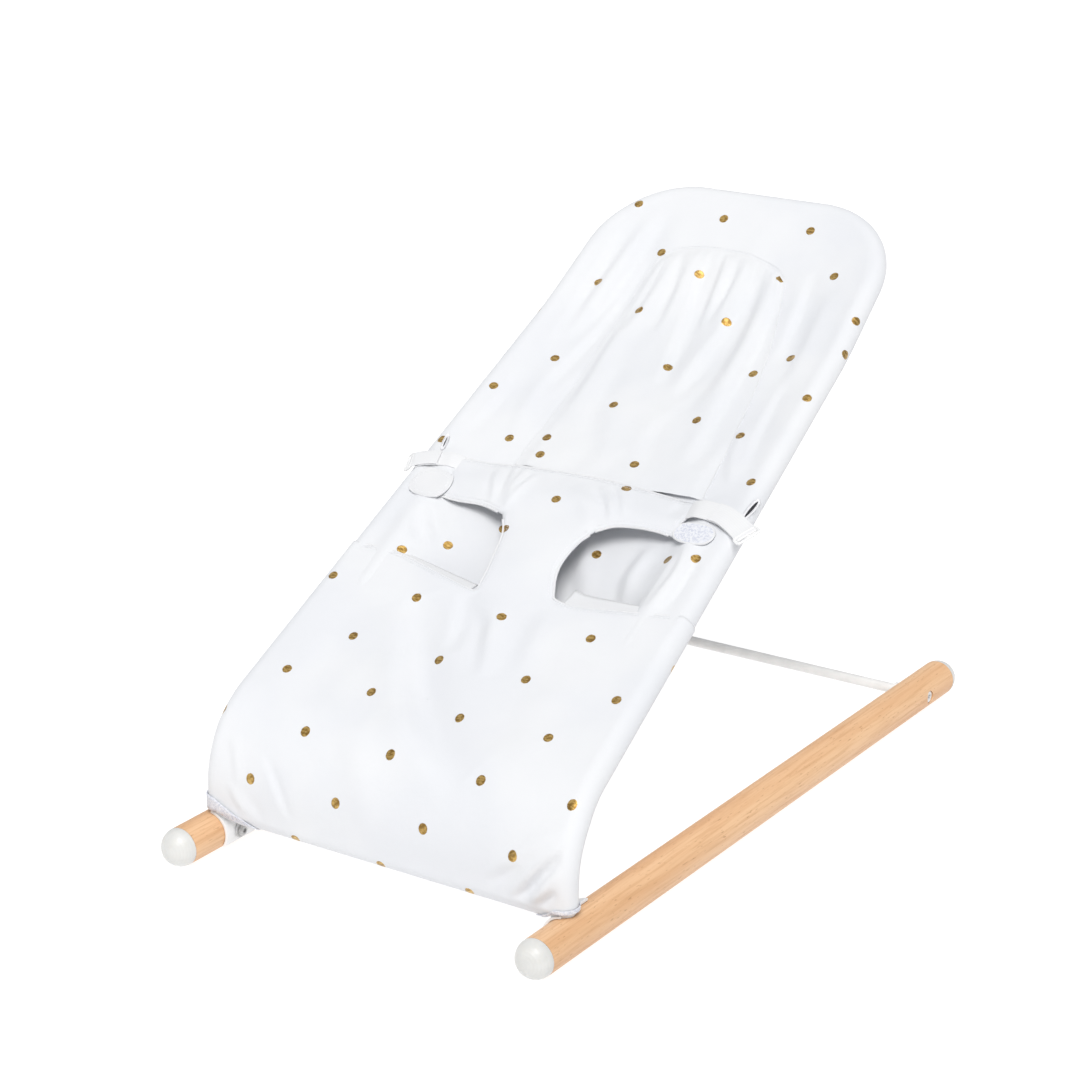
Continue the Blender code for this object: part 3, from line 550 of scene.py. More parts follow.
def sling_height(x, s):
    """How far the front of the sling is in front of the tubes' centre plane."""
    x, s = np.broadcast_arrays(np.asarray(x, float), np.asarray(s, float))
    half = tube_x(s)
    side = np.clip(np.abs(x) / half, 0, 1)
    end = np.clip(1 - (TOP - s) / half, 0, 1)
    near_tube = np.clip((side**4 + end**4) ** 0.25, 0, 1)
    sag = np.sin(math.pi * np.clip((s - BACK_S) / (TOP - BACK_S), 0, 1))
    middle = 0.0015 - 0.0055 * sag
    height = middle + (SLING_RADIUS - middle) * near_tube**2.4
    part = np.clip((s - POCKET_S[0]) / (POCKET_S[1] - POCKET_S[0]), 0, 1)
    across = np.clip(np.abs(x) / RIDGE_X, 0, 1)
    wall = np.where(x < 0, (1 - across**1.4) ** 1.5, 1 - across**4)  # the cloth lies slacker on the left
    height = height - POCKET_DEPTH * np.sin(math.pi * part**0.62) * wall
    beside = smooth(s, 0.20, 0.26) * (1 - smooth(s, 0.39, 0.44))
    height = height + 0.0045 * np.exp(-(((np.abs(x) - 0.139) / 0.012) ** 2)) * beside
    height = height + ripples(2.0 * x, 0.55 * s, 3, 0.085, 0.0011) * (1 - near_tube**6)
    return creased(height, x, s, SLING_FOLDS)


SLING_FOLDS = [  # each is a line along the cloth, its width, its height and its lean
    ([(-0.092, 0.765), (-0.099, 0.712), (-0.104, 0.650), (-0.116, 0.585)], 0.0075, -0.0030, 1.2),
    ([(-0.110, 0.752), (-0.116, 0.690), (-0.124, 0.620)], 0.0060, 0.0018, 1.0),
    ([(-0.128, 0.742), (-0.129, 0.655), (-0.126, 0.560)], 0.0060, -0.0018, 0.8),
    ([(-0.086, 0.720), (-0.090, 0.650), (-0.098, 0.575), (-0.106, 0.510)], 0.0050, -0.0020, 1.2),
    ([(-0.118, 0.560), (-0.112, 0.500), (-0.100, 0.450)], 0.0090, 0.0018, 0.8),
    ([(-0.140, 0.545), (-0.138, 0.490), (-0.144, 0.445)], 0.0055, -0.0014, 0.8),
    ([(0.090, 0.720), (0.098, 0.668), (0.106, 0.600)], 0.0065, -0.0022, 1.1),
    ([(0.118, 0.700), (0.122, 0.640), (0.130, 0.570)], 0.0065, 0.0016, 0.9),
    ([(0.128, 0.590), (0.133, 0.530), (0.146, 0.462)], 0.0055, -0.0018, 0.9),
    ([(0.112, 0.520), (0.122, 0.480), (0.138, 0.445)], 0.0050, 0.0018, 1.0),
    ([(0.134, 0.375), (0.143, 0.340), (0.139, 0.290)], 0.0045, 0.0026, 1.0),
    ([(0.150, 0.365), (0.154, 0.325), (0.149, 0.285)], 0.0040, -0.0018, 0.8),
    ([(-0.135, 0.365), (-0.120, 0.338), (-0.095, 0.315)], 0.0060, 0.0026, 1.0),
    ([(-0.152, 0.345), (-0.128, 0.322), (-0.105, 0.302)], 0.0050, -0.0016, 0.9),
    ([(0.020, 0.400), (0.030, 0.350), (0.060, 0.300)], 0.0090, 0.0035, 0.8),
    ([(0.095, 0.370), (0.090, 0.335), (0.100, 0.300)], 0.0070, 0.0030, 1.0),
]


def head_outline(start, step):
    """The tubes' centre line laid flat: up the left side, over the head and down the right."""
    lean = np.array([0.0546, 1.0])
    lean /= np.linalg.norm(lean)
    corner = np.array([-CROWN_X, TOP])
    turn = math.pi / 2 - math.atan2(lean[0], lean[1])
    reach = CROWN_RADIUS * math.tan(turn / 2)
    first = corner - lean * reach
    inward = np.array([lean[1], -lean[0]])
    centre = first + inward * CROWN_RADIUS
    s = np.linspace(start, first[1], round((first[1] - start) / step), endpoint=False)
    side = np.stack([-tube_x(s), s], axis=-1)
    angles = np.linspace(0, turn, round(turn * CROWN_RADIUS / step), endpoint=False)[:, None]
    arc = centre - inward * CROWN_RADIUS * np.cos(angles) + lean * CROWN_RADIUS * np.sin(angles)
    x = np.linspace(-(CROWN_X - reach), 0, round((CROWN_X - reach) / step) + 1)
    half = np.vstack([side, arc, np.stack([x, np.full(len(x), TOP)], axis=-1)])
    return np.vstack([half, half[-2::-1] * (-1, 1)])


# Dots out of line with the rows: most are below the belt, where the pocket draws the cloth in
SEAT_DOTS = np.array([
    (-0.127, 0.296), (-0.092, 0.318), (0.153, 0.356), (0.125, 0.352), (0.046, 0.3525), (0.169, 0.630),
    (-0.164, 0.430), (-0.030, 0.300), (0.062, 0.300), (-0.055, 0.355), (-0.015, 0.235), (0.075, 0.235),
])


def make_sling():
    """The sling is one sheet. It wraps round the side tubes and the head bow, and dips into the seat."""
    centre = head_outline(POCKET_S[0], 0.0034)
    count = len(centre)
    middle = count // 2
    outward = sideways(centre)
    length = distance_along(centre)
    fan_start = np.interp(FAN_S, centre[:middle, 1], length[:middle])
    share = np.clip((length - fan_start) / (length[middle] - fan_start), 0, 1)
    share = np.where(np.arange(count) <= middle, share, share[::-1])
    target = np.stack([
        np.zeros(count), np.minimum(centre[:, 1], FAN_S) + FAN_LENGTH * share,
    ], axis=-1)
    hem = np.where(centre[:, 1] < BOW_HEM_S, HEM_WIDTH, BOW_HEM_WIDTH)
    columns, flats = [], []
    for part in np.linspace(0, 1, BACK_COLUMNS, endpoint=False):
        back = hem * (1 - part)
        at = centre - outward * back[:, None]
        sheet = sling_height(at[:, 0], at[:, 1]) - CLOTH_THICKNESS - HEM_GAP
        rise = (1 - part) ** 1.5
        columns.append(seat(at[:, 0], at[:, 1], -SLING_RADIUS + (sheet + SLING_RADIUS) * rise))
        flats.append(centre + outward * (SLING_RADIUS * math.pi + back)[:, None])
    for angle in np.linspace(-math.pi / 2, math.pi / 2, WRAP_COLUMNS):
        at = centre + outward * SLING_RADIUS * math.cos(angle)
        columns.append(seat(at[:, 0], at[:, 1], SLING_RADIUS * math.sin(angle)))
        flats.append(centre + outward * SLING_RADIUS * (math.pi / 2 - angle))
    for part in np.linspace(0, 1, FACE_COLUMNS)[1:]:
        at = centre + (target - centre) * part
        height = sling_height(at[:, 0], at[:, 1])
        height = height + (SLING_RADIUS - height) * max(0.0, 1 - part / 0.05)
        columns.append(seat(at[:, 0], at[:, 1], height))
        flats.append(at)
    points = np.stack(columns, axis=1)
    flat = np.stack(flats, axis=1)
    close = np.arange(points.shape[0] * points.shape[1]).reshape(points.shape[:2])
    close[:, -1] = np.minimum(close[:, -1], close[::-1, -1])
    rows = dot_rows(range(-3, 7), lambda k: -0.030 + 0.0475 * (k % 2) + 0.0004 * k * k,
                    lambda k: 0.767 - 0.0485 * k - 0.00065 * k * k, lambda k: 0.096 - 0.00025 * k * k)
    dots = np.vstack([rows, SEAT_DOTS])
    obj = sheet_object("cover_sling", points, flat, None, COTTON, dots, close.reshape(-1))
    thicken(obj, CLOTH_THICKNESS)
    return bake(obj)


# ---------------------------------------------------------------- the front piece


HEM_S = CROSS_TUBE_Z - START_Z
HEM_RADIUS = 0.0102
HEM_HALF = {"left": 0.1340, "right": 0.1570}
BELT_X = (-0.131, 0.121)
APRON_ROWS, HOLE_ROWS, BELT_ROWS = 110, 30, 22
STRIP_COLUMNS, HOLE_COLUMNS, BRIDGE_COLUMNS = 18, 34, 28
APRON_TOP = 0.291
RIM_DROP = 0.0016  # of the free edges, towards the cloth behind them
EVENING_ROUNDS = 6000
LEFT_LOW, LEFT_HIGH = (-0.029, 0.268), (-0.051, 0.357)
RIGHT_LOW, RIGHT_HIGH = (0.049, 0.279), (0.047, 0.360)
FRONT_FOLDS = [
    ([(-0.084, 0.243), (-0.053, 0.197), (-0.015, 0.144), (0.031, 0.103), (0.069, 0.080)],
     0.015, -0.0058, 1.3),
    ([(-0.027, 0.262), (0.001, 0.244), (0.015, 0.216), (0.030, 0.182)], 0.008, 0.0030, 1.2),
    ([(-0.040, 0.262), (-0.024, 0.232), (-0.016, 0.200)], 0.007, -0.0024, 0.8),
    ([(0.050, 0.268), (0.052, 0.235), (0.060, 0.195)], 0.010, 0.0016, 1.0),
    ([(0.184, 0.053), (0.171, 0.040), (0.156, 0.023), (0.136, 0.001)], 0.0030, -0.0034, 1.5),
    ([(0.185, 0.040), (0.173, 0.028), (0.160, 0.013), (0.150, 0.001)], 0.0034, 0.0024, 1.4),
    ([(0.180, 0.023), (0.169, 0.011), (0.160, 0.001)], 0.0030, -0.0026, 1.4),
    ([(0.144, 0.034), (0.128, 0.024), (0.112, 0.011)], 0.0042, -0.0018, 1.2),
    ([(0.178, 0.066), (0.150, 0.050), (0.122, 0.030)], 0.0050, 0.0014, 1.1),
    ([(-0.164, 0.031), (-0.1515, 0.0150), (-0.140, 0.001)], 0.0042, 0.0018, 0.3),
    ([(-0.148, 0.032), (-0.136, 0.016), (-0.124, 0.002)], 0.0046, -0.0008, 0.6),
    ([(-0.132, 0.060), (-0.116, 0.0435), (-0.096, 0.012)], 0.0034, -0.0013, 1.2),
    ([(-0.170, 0.070), (-0.160, 0.050), (-0.154, 0.030)], 0.0040, 0.0009, 1.0),
    ([(-0.140, 0.240), (-0.125, 0.170), (-0.128, 0.100)], 0.020, -0.0018, 0.6),
    ([(0.110, 0.225), (0.100, 0.160), (0.112, 0.095)], 0.022, 0.0018, 0.7),
    ([(-0.060, 0.105), (-0.030, 0.060), (-0.010, 0.020)], 0.016, 0.0016, 0.8),
    ([(-0.076, 0.424), (-0.067, 0.396), (-0.060, 0.368)], 0.0035, 0.0021, 1.5),
    ([(-0.064, 0.420), (-0.059, 0.392), (-0.056, 0.366)], 0.0032, 0.0024, 1.5),
    ([(-0.049, 0.414), (-0.051, 0.388), (-0.053, 0.364)], 0.0034, 0.0019, 1.5),
    ([(-0.092, 0.412), (-0.080, 0.388), (-0.070, 0.368)], 0.0034, 0.0015, 1.4),
    ([(0.021, 0.412), (0.041, 0.396), (0.055, 0.374)], 0.0036, 0.0020, 1.5),
    ([(0.036, 0.420), (0.052, 0.402), (0.064, 0.381)], 0.0034, 0.0016, 1.4),
    ([(-0.004, 0.405), (0.020, 0.385), (0.040, 0.362)], 0.0060, 0.0012, 1.0),
]


def front_height(x, s):
    """How far the front piece is in front of the tubes' centre plane."""
    half = tube_x(s)
    side = np.clip(np.abs(x) / half, 0, 1)
    middle = 0.0102 - 0.0012 * smooth(s, 0.02, 0.12) + 0.0040 * smooth(s, 0.24, 0.33)
    apron = middle + (FRONT_RADIUS - middle) * side**3
    bridge = middle + 0.0030 * (1 - np.clip(np.abs(x - 0.006) / 0.045, 0, 1) ** 2)
    belt = 0.0150 - 0.0052 * np.clip(np.abs(x) / 0.130, 0, 1) ** 2
    belt = belt - 0.0062 * smooth(s, 0.386, 0.424) * (1 - smooth(np.abs(x), 0.100, 0.132))
    height = apron + (bridge - apron) * smooth(s, 0.262, 0.300)
    height = height + (belt - height) * smooth(s, 0.335, 0.372)
    beside_inset = smooth(x, 0.097, 0.106) * (1 - smooth(x, 0.128, 0.140))
    snug = np.minimum(height, sling_height(x, s) + 0.0018)
    height = height + (snug - height) * smooth(s, 0.392, 0.419) * beside_inset
    height = height + ripples(x, s, 11, 0.075, 0.0009) * (1 - side**8) * smooth(s, 0.0, 0.03)
    return creased(height, x, s, FRONT_FOLDS, smooth(s, -0.001, 0.012))


def hem_reach(name, angle):
    """How far from the middle the hem reaches: its corners are cut away below the legs."""
    return LEG_X + (HEM_HALF[name] - LEG_X) * min(1.0, -angle / (math.pi / 2))


def front_face(x, s):
    """The front piece's height, on the hem's round below its last row too."""
    below = np.clip(HEM_S - s, 0, HEM_RADIUS)
    on_hem = np.sqrt(HEM_RADIUS**2 - below**2)
    return np.where(s < HEM_S, on_hem, front_height(x, np.maximum(s, HEM_S)))


def front_edges():
    """The front piece's free edges, laid flat, as named curves between its corners."""
    left, right = BELT_X
    side = float(tube_x(APRON_TOP))
    left_low, left_high = (left + 0.002, 0.366), (left - 0.004, 0.414)
    right_low, right_high = (right, 0.374), (right + 0.002, 0.420)
    return {
        "apron_left": [(-side, APRON_TOP), (-0.125, 0.290), (-0.060, 0.275), LEFT_LOW],
        "bridge_left": [LEFT_LOW, (-0.0290, 0.287), (-0.0325, 0.310), (-0.0390, 0.337), LEFT_HIGH],
        "wing_left_low": [left_low, (-0.108, 0.3635), (-0.078, 0.3635), LEFT_HIGH],
        "wing_left_end": [left_low, (left + 0.001, 0.382), (left - 0.004, 0.399), left_high],
        "belt_top": [left_high, (-0.070, 0.4215), (0.015, 0.4250), right_high],
        "wing_right_end": [right_low, (right - 0.003, 0.390), (right - 0.001, 0.406), right_high],
        "wing_right_low": [RIGHT_HIGH, (0.062, 0.3705), (0.085, 0.3755), (0.105, 0.3760), right_low],
        "bridge_right": [RIGHT_LOW, (0.0405, 0.296), (0.0358, 0.316), (0.0385, 0.342), RIGHT_HIGH],
        "apron_right": [RIGHT_LOW, (0.070, 0.2765), (0.100, 0.280), (0.140, 0.286), (side, APRON_TOP)],
    }


def front_grid(marks, low, high, top):
    """The front piece laid flat on a grid, and which of the grid's points it has.

    Its edges are pinned to grid lines, and the points between them are evened out.
    """
    outer_left, left, bridge_left, bridge_right, right, outer_right = marks
    grid = np.full((top + 1, outer_right + 1, 2), np.nan)
    fixed = np.zeros((top + 1, outer_right + 1), bool)

    def pin(rows, columns, points):
        grid[rows, columns] = points
        fixed[rows, columns] = True

    def span(first, last):
        return np.arange(first, last + 1)

    rise = np.linspace(HEM_S, APRON_TOP, low + 1)
    for column, sign in ((outer_left, -1), (outer_right, 1)):
        pin(span(0, low), column, np.stack([sign * tube_x(rise), rise], axis=-1))
    across = np.linspace(-1, 1, outer_right + 1) * float(tube_x(HEM_S))
    pin(0, span(0, outer_right), np.stack([across, np.full(len(across), HEM_S)], axis=-1))
    edges = front_edges()
    for name, rows, columns in (
        ("apron_left", low, span(outer_left, bridge_left)),
        ("apron_right", low, span(bridge_right, outer_right)),
        ("bridge_left", span(low, high), bridge_left),
        ("bridge_right", span(low, high), bridge_right),
        ("wing_left_low", high, span(left, bridge_left)),
        ("wing_right_low", high, span(bridge_right, right)),
        ("wing_left_end", span(high, top), left),
        ("wing_right_end", span(high, top), right),
        ("belt_top", top, span(left, right)),
    ):
        pin(rows, columns, through(edges[name], max(np.size(rows), np.size(columns))))

    inside = np.zeros_like(fixed)
    inside[: low + 1] = True
    inside[low : high + 1, bridge_left : bridge_right + 1] = True
    inside[high:, left : right + 1] = True
    free = inside & ~fixed
    row = np.arange(top + 1)[:, None]
    first_s = np.select([row < low, row < high], [0.20, 0.32], 0.40)
    grid[free, 0] = 0.0
    grid[free, 1] = np.broadcast_to(first_s, free.shape)[free]
    for _ in range(EVENING_ROUNDS):
        mean = np.zeros_like(grid)
        mean[1:-1, 1:-1] = (grid[:-2, 1:-1] + grid[2:, 1:-1] + grid[1:-1, :-2] + grid[1:-1, 2:]) / 4
        grid[free] = mean[free]
    return np.nan_to_num(grid), inside


def rim_share(rim):
    """1 on the rim's grid points, and less on the two rounds of points next to them."""
    near, passed_on = rim.astype(float), 0.42
    for _ in range(2):
        wide = np.pad(near * passed_on, 1)
        beside = np.maximum.reduce([wide[:-2, 1:-1], wide[2:, 1:-1], wide[1:-1, :-2], wide[1:-1, 2:]])
        near = np.maximum(near, beside)
    return near


def leg_sleeve(x, s, sign):
    """The front piece behind a leg, from its hem to where it comes round: places, and laid flat."""
    places, flats = [], []
    for part in np.linspace(0, 1, 6, endpoint=False):
        back = HEM_WIDTH * (1 - part)
        lift = (1 - part) ** 1.5
        places.append(seat(x - sign * back, s, -FRONT_RADIUS + 0.018 * lift))
        flats.append(np.stack([x + sign * (FRONT_RADIUS * math.pi + back), s], axis=-1))
    for angle in np.linspace(-math.pi / 2, math.pi / 2, WRAP_COLUMNS)[:-1]:
        places.append(seat(x + sign * FRONT_RADIUS * math.cos(angle), s, FRONT_RADIUS * math.sin(angle)))
        flats.append(np.stack([x + sign * FRONT_RADIUS * (math.pi / 2 - angle), s], axis=-1))
    return np.stack(places, axis=1), np.stack(flats, axis=1)


def make_front():
    """The apron, the bridge between the legs and the belt, in one sheet with a sleeve round each leg."""
    marks = np.cumsum([0, STRIP_COLUMNS, HOLE_COLUMNS, BRIDGE_COLUMNS, HOLE_COLUMNS, STRIP_COLUMNS])
    outer_left, left, bridge_left, bridge_right, right, outer_right = marks
    low, high, top = np.cumsum([APRON_ROWS, HOLE_ROWS, BELT_ROWS])
    flat, inside = front_grid(marks, low, high, top)
    keep = inside[:-1, :-1] & inside[1:, :-1] & inside[:-1, 1:] & inside[1:, 1:]
    keep[low:high, :bridge_left] = False
    keep[low:high, bridge_right:] = False
    keep[high:, :left] = False
    keep[high:, right:] = False
    touching = np.zeros(inside.shape)  # how many of a point's four cells are kept
    for rows in (slice(None, -1), slice(1, None)):
        for columns in (slice(None, -1), slice(1, None)):
            touching[rows, columns] += keep
    rim = inside & (touching < 4)
    rim[:low, :] = False
    rim[low, [outer_left, outer_right]] = False
    x, s = flat[..., 0], flat[..., 1]
    points = seat(x, s, front_height(x, s) - RIM_DROP * rim_share(rim))

    left_points, left_flat = leg_sleeve(x[:, outer_left], s[:, outer_left], -1)
    right_points, right_flat = leg_sleeve(x[:, outer_right], s[:, outer_right], 1)
    around = left_points.shape[1]
    points = np.concatenate([left_points, points, right_points[:, ::-1]], axis=1)
    flat = np.concatenate([left_flat, flat, right_flat[:, ::-1]], axis=1)
    wrap = np.zeros((top, around), bool)
    wrap[:low] = True
    keep = np.concatenate([wrap, keep, wrap], axis=1)

    hem_points, hem_flat = [], []
    for angle in np.linspace(math.radians(-210), 0, 16)[:-1]:
        hem_h = HEM_RADIUS * math.cos(angle)
        hem_s = HEM_S + HEM_RADIUS * math.sin(angle)
        reach = np.where(x[0] < 0, hem_reach("left", angle), hem_reach("right", angle)) / LEG_X
        row_x = np.concatenate([left_points[0, :, 0], x[0] * reach, right_points[0, ::-1, 0]])
        hem_points.append(seat(row_x, np.full(len(row_x), hem_s), hem_h))
        hem_flat.append(np.stack([row_x, np.full(len(row_x), HEM_RADIUS * angle)], axis=-1))
    hem_keep = np.zeros((len(hem_points), len(row_x) - 1), bool)
    hem_keep[:, around : len(row_x) - 1 - around] = True
    points = np.concatenate([np.stack(hem_points), points])
    flat = np.concatenate([np.stack(hem_flat), flat])
    keep = np.concatenate([hem_keep, keep])
    apron_dots = dot_rows(range(0, 7), lambda k: 0.046 * (k % 2) - 0.0013 * k * k,
                          lambda k: -0.006 + 0.043 * k + 0.0015 * k * k, lambda k: 0.0925)
    apron_dots = apron_dots[(apron_dots[:, 1] < 0.275) | (np.abs(apron_dots[:, 0]) > 0.10)]
    belt_dots = np.array([(-0.008, 0.385), (0.0465, 0.4185), (-0.039, 0.341)])
    obj = sheet_object("cover_front", points, flat, keep, COTTON, np.vstack([apron_dots, belt_dots]))
    thicken(obj, FRONT_THICKNESS)
    return bake(obj)


# ---------------------------------------------------------------- seams and smaller cloth pieces


def on_sling(line, above):
    """The line laid on the sling, and on its sleeves where it is further out than a tube's middle."""
    x, s = line[:, 0], line[:, 1]
    past = np.clip(np.abs(x) - tube_x(s), 0, SLING_RADIUS * 0.97)
    drop = SLING_RADIUS - np.sqrt(SLING_RADIUS**2 - past**2)
    return seat(x, s, sling_height(x, s) + above - drop)


def on_front(line, above):
    """The line laid on the front piece."""
    return seat(line[:, 0], line[:, 1], front_height(line[:, 0], line[:, 1]) + above)


def stitches(name, line, pitch=0.0034, length=0.0023, radius=0.00020, sides=5):
    """A row of short threads along a line of points in space."""
    run = distance_along(line)
    _, one, two = frames(line)
    shape = ((0.0, 0.35), (0.18, 0.9), (0.5, 1.0), (0.82, 0.9), (1.0, 0.35))  # how thick it is, and where
    points, faces = [], []
    for start in np.arange(pitch / 2, run[-1] - length, pitch):
        a = np.stack([np.interp(start, run, one[:, k]) for k in range(3)])
        b = np.stack([np.interp(start, run, two[:, k]) for k in range(3)])
        base = len(points)
        for part, swell in shape:
            middle = np.stack([np.interp(start + length * part, run, line[:, k]) for k in range(3)])
            points += ring(middle, a, b, radius * swell, sides)
        faces += tube_faces(len(shape), sides, base) + end_faces(len(shape), sides, base)
    return new_object(name, points, faces, THREAD)


INSET_BOTTOM = 0.424
INSET_MIDDLE = (0.0, 0.58)
INSET_LEFT = [(-0.079, INSET_BOTTOM), (-0.078, 0.530), (-0.081, 0.600), (-0.080, 0.670), (-0.077, 0.708)]
INSET_RIGHT = [(0.122, INSET_BOTTOM), (0.110, 0.507), (0.104, 0.548), (0.094, 0.600), (0.078, 0.662),
               (0.064, 0.706)]
INSET_TOP = [(-0.077, 0.708), (-0.053, 0.726), (0.000, 0.730), (0.044, 0.720), (0.064, 0.706)]
INSET_FOLDS = [
    ([(-0.062, 0.716), (-0.061, 0.670), (-0.066, 0.610)], 0.0050, 0.0024, 1.2),
    ([(-0.046, 0.722), (-0.038, 0.670), (-0.034, 0.620)], 0.0042, 0.0024, 1.3),
    ([(-0.026, 0.726), (-0.019, 0.680), (-0.006, 0.621), (0.006, 0.555)], 0.0065, -0.0034, 1.2),
    ([(-0.006, 0.727), (-0.001, 0.690), (0.004, 0.640)], 0.0042, 0.0026, 1.3),
    ([(0.014, 0.726), (0.017, 0.692), (0.016, 0.640)], 0.0045, 0.0028, 1.3),
    ([(0.034, 0.718), (0.037, 0.668), (0.032, 0.600), (0.030, 0.540)], 0.0065, -0.0036, 1.2),
    ([(0.047, 0.714), (0.057, 0.665), (0.062, 0.590), (0.058, 0.520)], 0.0080, 0.0030, 1.1),
    ([(0.059, 0.706), (0.076, 0.640), (0.086, 0.5535), (0.092, 0.455)], 0.0100, -0.0052, 1.1),
    ([(-0.070, 0.640), (-0.070, 0.560), (-0.060, 0.480)], 0.0060, 0.0016, 1.0),
    ([(-0.052, 0.600), (-0.046, 0.540), (-0.036, 0.470)], 0.0080, -0.0016, 0.9),
    ([(-0.030, 0.520), (-0.010, 0.480), (0.000, 0.445)], 0.0100, 0.0014, 0.8),
    ([(0.030, 0.520), (0.036, 0.480), (0.050, 0.440)], 0.0090, -0.0016, 0.8),
]


# The gathers draw the inset's dots out of line, so they are placed singly
INSET_DOTS = np.array([
    (-0.025, 0.698), (0.060, 0.7085), (-0.064, 0.642), (0.030, 0.647), (0.000, 0.5805), (0.088, 0.5895),
    (-0.026, 0.520), (0.066, 0.518), (-0.066, 0.462), (0.036, 0.451), (-0.060, 0.4395),
])


def make_inset():
    """The softer panel let into the back, gathered along its upper seam."""
    rows, columns = 72, 48
    left, right = through(INSET_LEFT, rows + 1), through(INSET_RIGHT, rows + 1)
    upper = through(INSET_TOP, columns + 1)
    v = np.linspace(0, 1, columns + 1)[None, :, None]
    w = np.linspace(0, 1, rows + 1)[:, None, None]
    lower = np.stack([np.linspace(left[0, 0], right[0, 0], columns + 1),
                      np.full(columns + 1, INSET_BOTTOM)], axis=-1)
    flat = (1 - v) * left[:, None] + v * right[:, None] + (1 - w) * lower[None] + w * upper[None]
    corners = (1 - v) * (1 - w) * lower[0] + v * (1 - w) * lower[-1]
    corners = corners + (1 - v) * w * upper[0] + v * w * upper[-1]
    flat = flat - corners
    x, s = flat[..., 0], flat[..., 1]
    v, w = np.broadcast_to(v[..., 0], x.shape), np.broadcast_to(w[..., 0], x.shape)
    inside = smooth(v, 0, 0.07) * smooth(1 - v, 0, 0.07) * smooth(1 - w, 0, 0.035)
    height = creased(np.zeros_like(x), x, s, INSET_FOLDS)
    from_top, from_side = (1 - w) * 0.28, np.minimum(v, 1 - v) * 0.17
    gather = np.exp(-(from_top / 0.022)) * np.sin(v * 2 * math.pi * 17 + 2 * np.sin(9 * v)) * 0.0010
    pucker = np.exp(-(from_side / 0.006)) * np.sin(w * 2 * math.pi * 30 + 3 * np.sin(7 * w)) * 0.0005
    lift = 0.0004 + 0.0030 * inside + (height + gather + pucker + ripples(x, s, 5, 0.05, 0.0006)) * inside
    lift = np.maximum(lift, 0.0003)
    points = seat(x, s, sling_height(x, s) + lift + 0.0002)
    obj = sheet_object("inset_panel_cloth", points, flat, None, INSET, INSET_DOTS)
    seam = [through(INSET_LEFT, 70), through(INSET_TOP, 50)[1:], through(INSET_RIGHT, 70)[::-1][1:]]
    seam = np.vstack(seam)
    cord = rod("inset_seam", on_sling(seam, 0.0003), 0.00055, PLAIN, 0.8)
    outside = seam + (seam - np.array(INSET_MIDDLE)) * 0.022
    thread = stitches("inset_stitching", on_sling(outside, 0.00035))
    return obj, cord, thread


def front_seams():
    """Turned and stitched edges round the front piece's holes and its belt."""
    edge = {name: through(points, 60) for name, points in front_edges().items()}
    lines = {
        "hole_left": np.vstack([edge["apron_left"], edge["bridge_left"][1:]]),
        "hole_right": np.vstack([edge["apron_right"][::-1], edge["bridge_right"][1:]]),
        "belt_left": edge["wing_left_low"],
        "belt_right": edge["wing_right_low"],
        "belt_end_left": edge["wing_left_end"],
        "belt_end_right": edge["wing_right_end"],
        "belt_upper": edge["belt_top"],
    }
    return [
        rod(f"edge_{name}", on_front(through(line[::6], 120), -0.0021), 0.00125, PLAIN)
        for name, line in lines.items()
    ]


FACING_REACH = {"left": 0.010, "right": 0.023}


def make_facing(name):
    """The apron's upper edge turned in: a strip that slopes down into a leg hole."""
    line = through(front_edges()["apron_" + name], 50)[4:-2]
    share = np.abs(line[:, 0]) / LEG_X
    inner = line + np.stack([np.zeros(len(line)), FACING_REACH[name] * (1.25 - share)], axis=-1)
    x, s = line[:, 0], line[:, 1]
    rows, flat = [], []
    for part in np.linspace(0, 1, 6):
        at = line + (inner - line) * part
        height = front_height(x, s) - 0.0022 - 0.0045 * part
        rows.append(seat(at[:, 0], at[:, 1], height))
        flat.append(np.stack([x, 0.016 * part * np.ones(len(x))], axis=-1))
    obj = sheet_object("facing_" + name, np.stack(rows), np.stack(flat), None, PLAIN)
    return bake(thicken(obj, TAPE_THICKNESS))


def inward(line, distance, towards):
    """A line moved sideways by a distance, to the side where a given point is."""
    normal = sideways(line)
    middle = len(line) // 2
    side = np.sign(normal[middle] @ (np.asarray(towards) - line[middle]))
    return line + side * distance * normal


def front_stitching():
    """Rows of stitches a few millimetres inside the front piece's edges."""
    edges = front_edges()
    rows = {
        "apron_left": (-0.08, 0.24), "apron_right": (0.08, 0.24),
        "bridge_left": (0.0, 0.31), "bridge_right": (0.0, 0.31),
        "wing_left_low": (-0.08, 0.40), "wing_right_low": (0.08, 0.40),
        "wing_left_end": (-0.08, 0.39), "wing_right_end": (0.08, 0.39),
        "belt_top": (0.0, 0.39),
    }
    made = []
    for name, towards in rows.items():
        line = inward(through(edges[name], 60), 0.0042, towards)[2:-2]
        made.append(stitches("stitches_" + name, on_front(line, -0.00004)))
    return made


# ---------------------------------------------------------------- straps, tabs and slots


def band(name, line, width, material, thickness=0.0014, crown=0.0003):
    """A flat strap along a line of (x, s, h) points."""
    line = through(line, 36)
    normal = sideways(line[:, :2])
    across = np.linspace(-0.5, 0.5, 11) * width
    x = line[:, 0, None] + across * normal[:, 0, None]
    s = line[:, 1, None] + across * normal[:, 1, None]
    h = line[:, 2, None] + crown * (1 - (2 * across / width) ** 2)
    run = distance_along(line)
    flat = np.stack(np.broadcast_arrays(run[:, None], across[None, :]), axis=-1)
    obj = sheet_object(name, seat(x, s, h), flat, None, material)
    thicken(obj, thickness, offset=0.0)
    soften = obj.modifiers.new("edges", "BEVEL")
    soften.width = 0.0003
    soften.segments = 2
    return bake(obj)


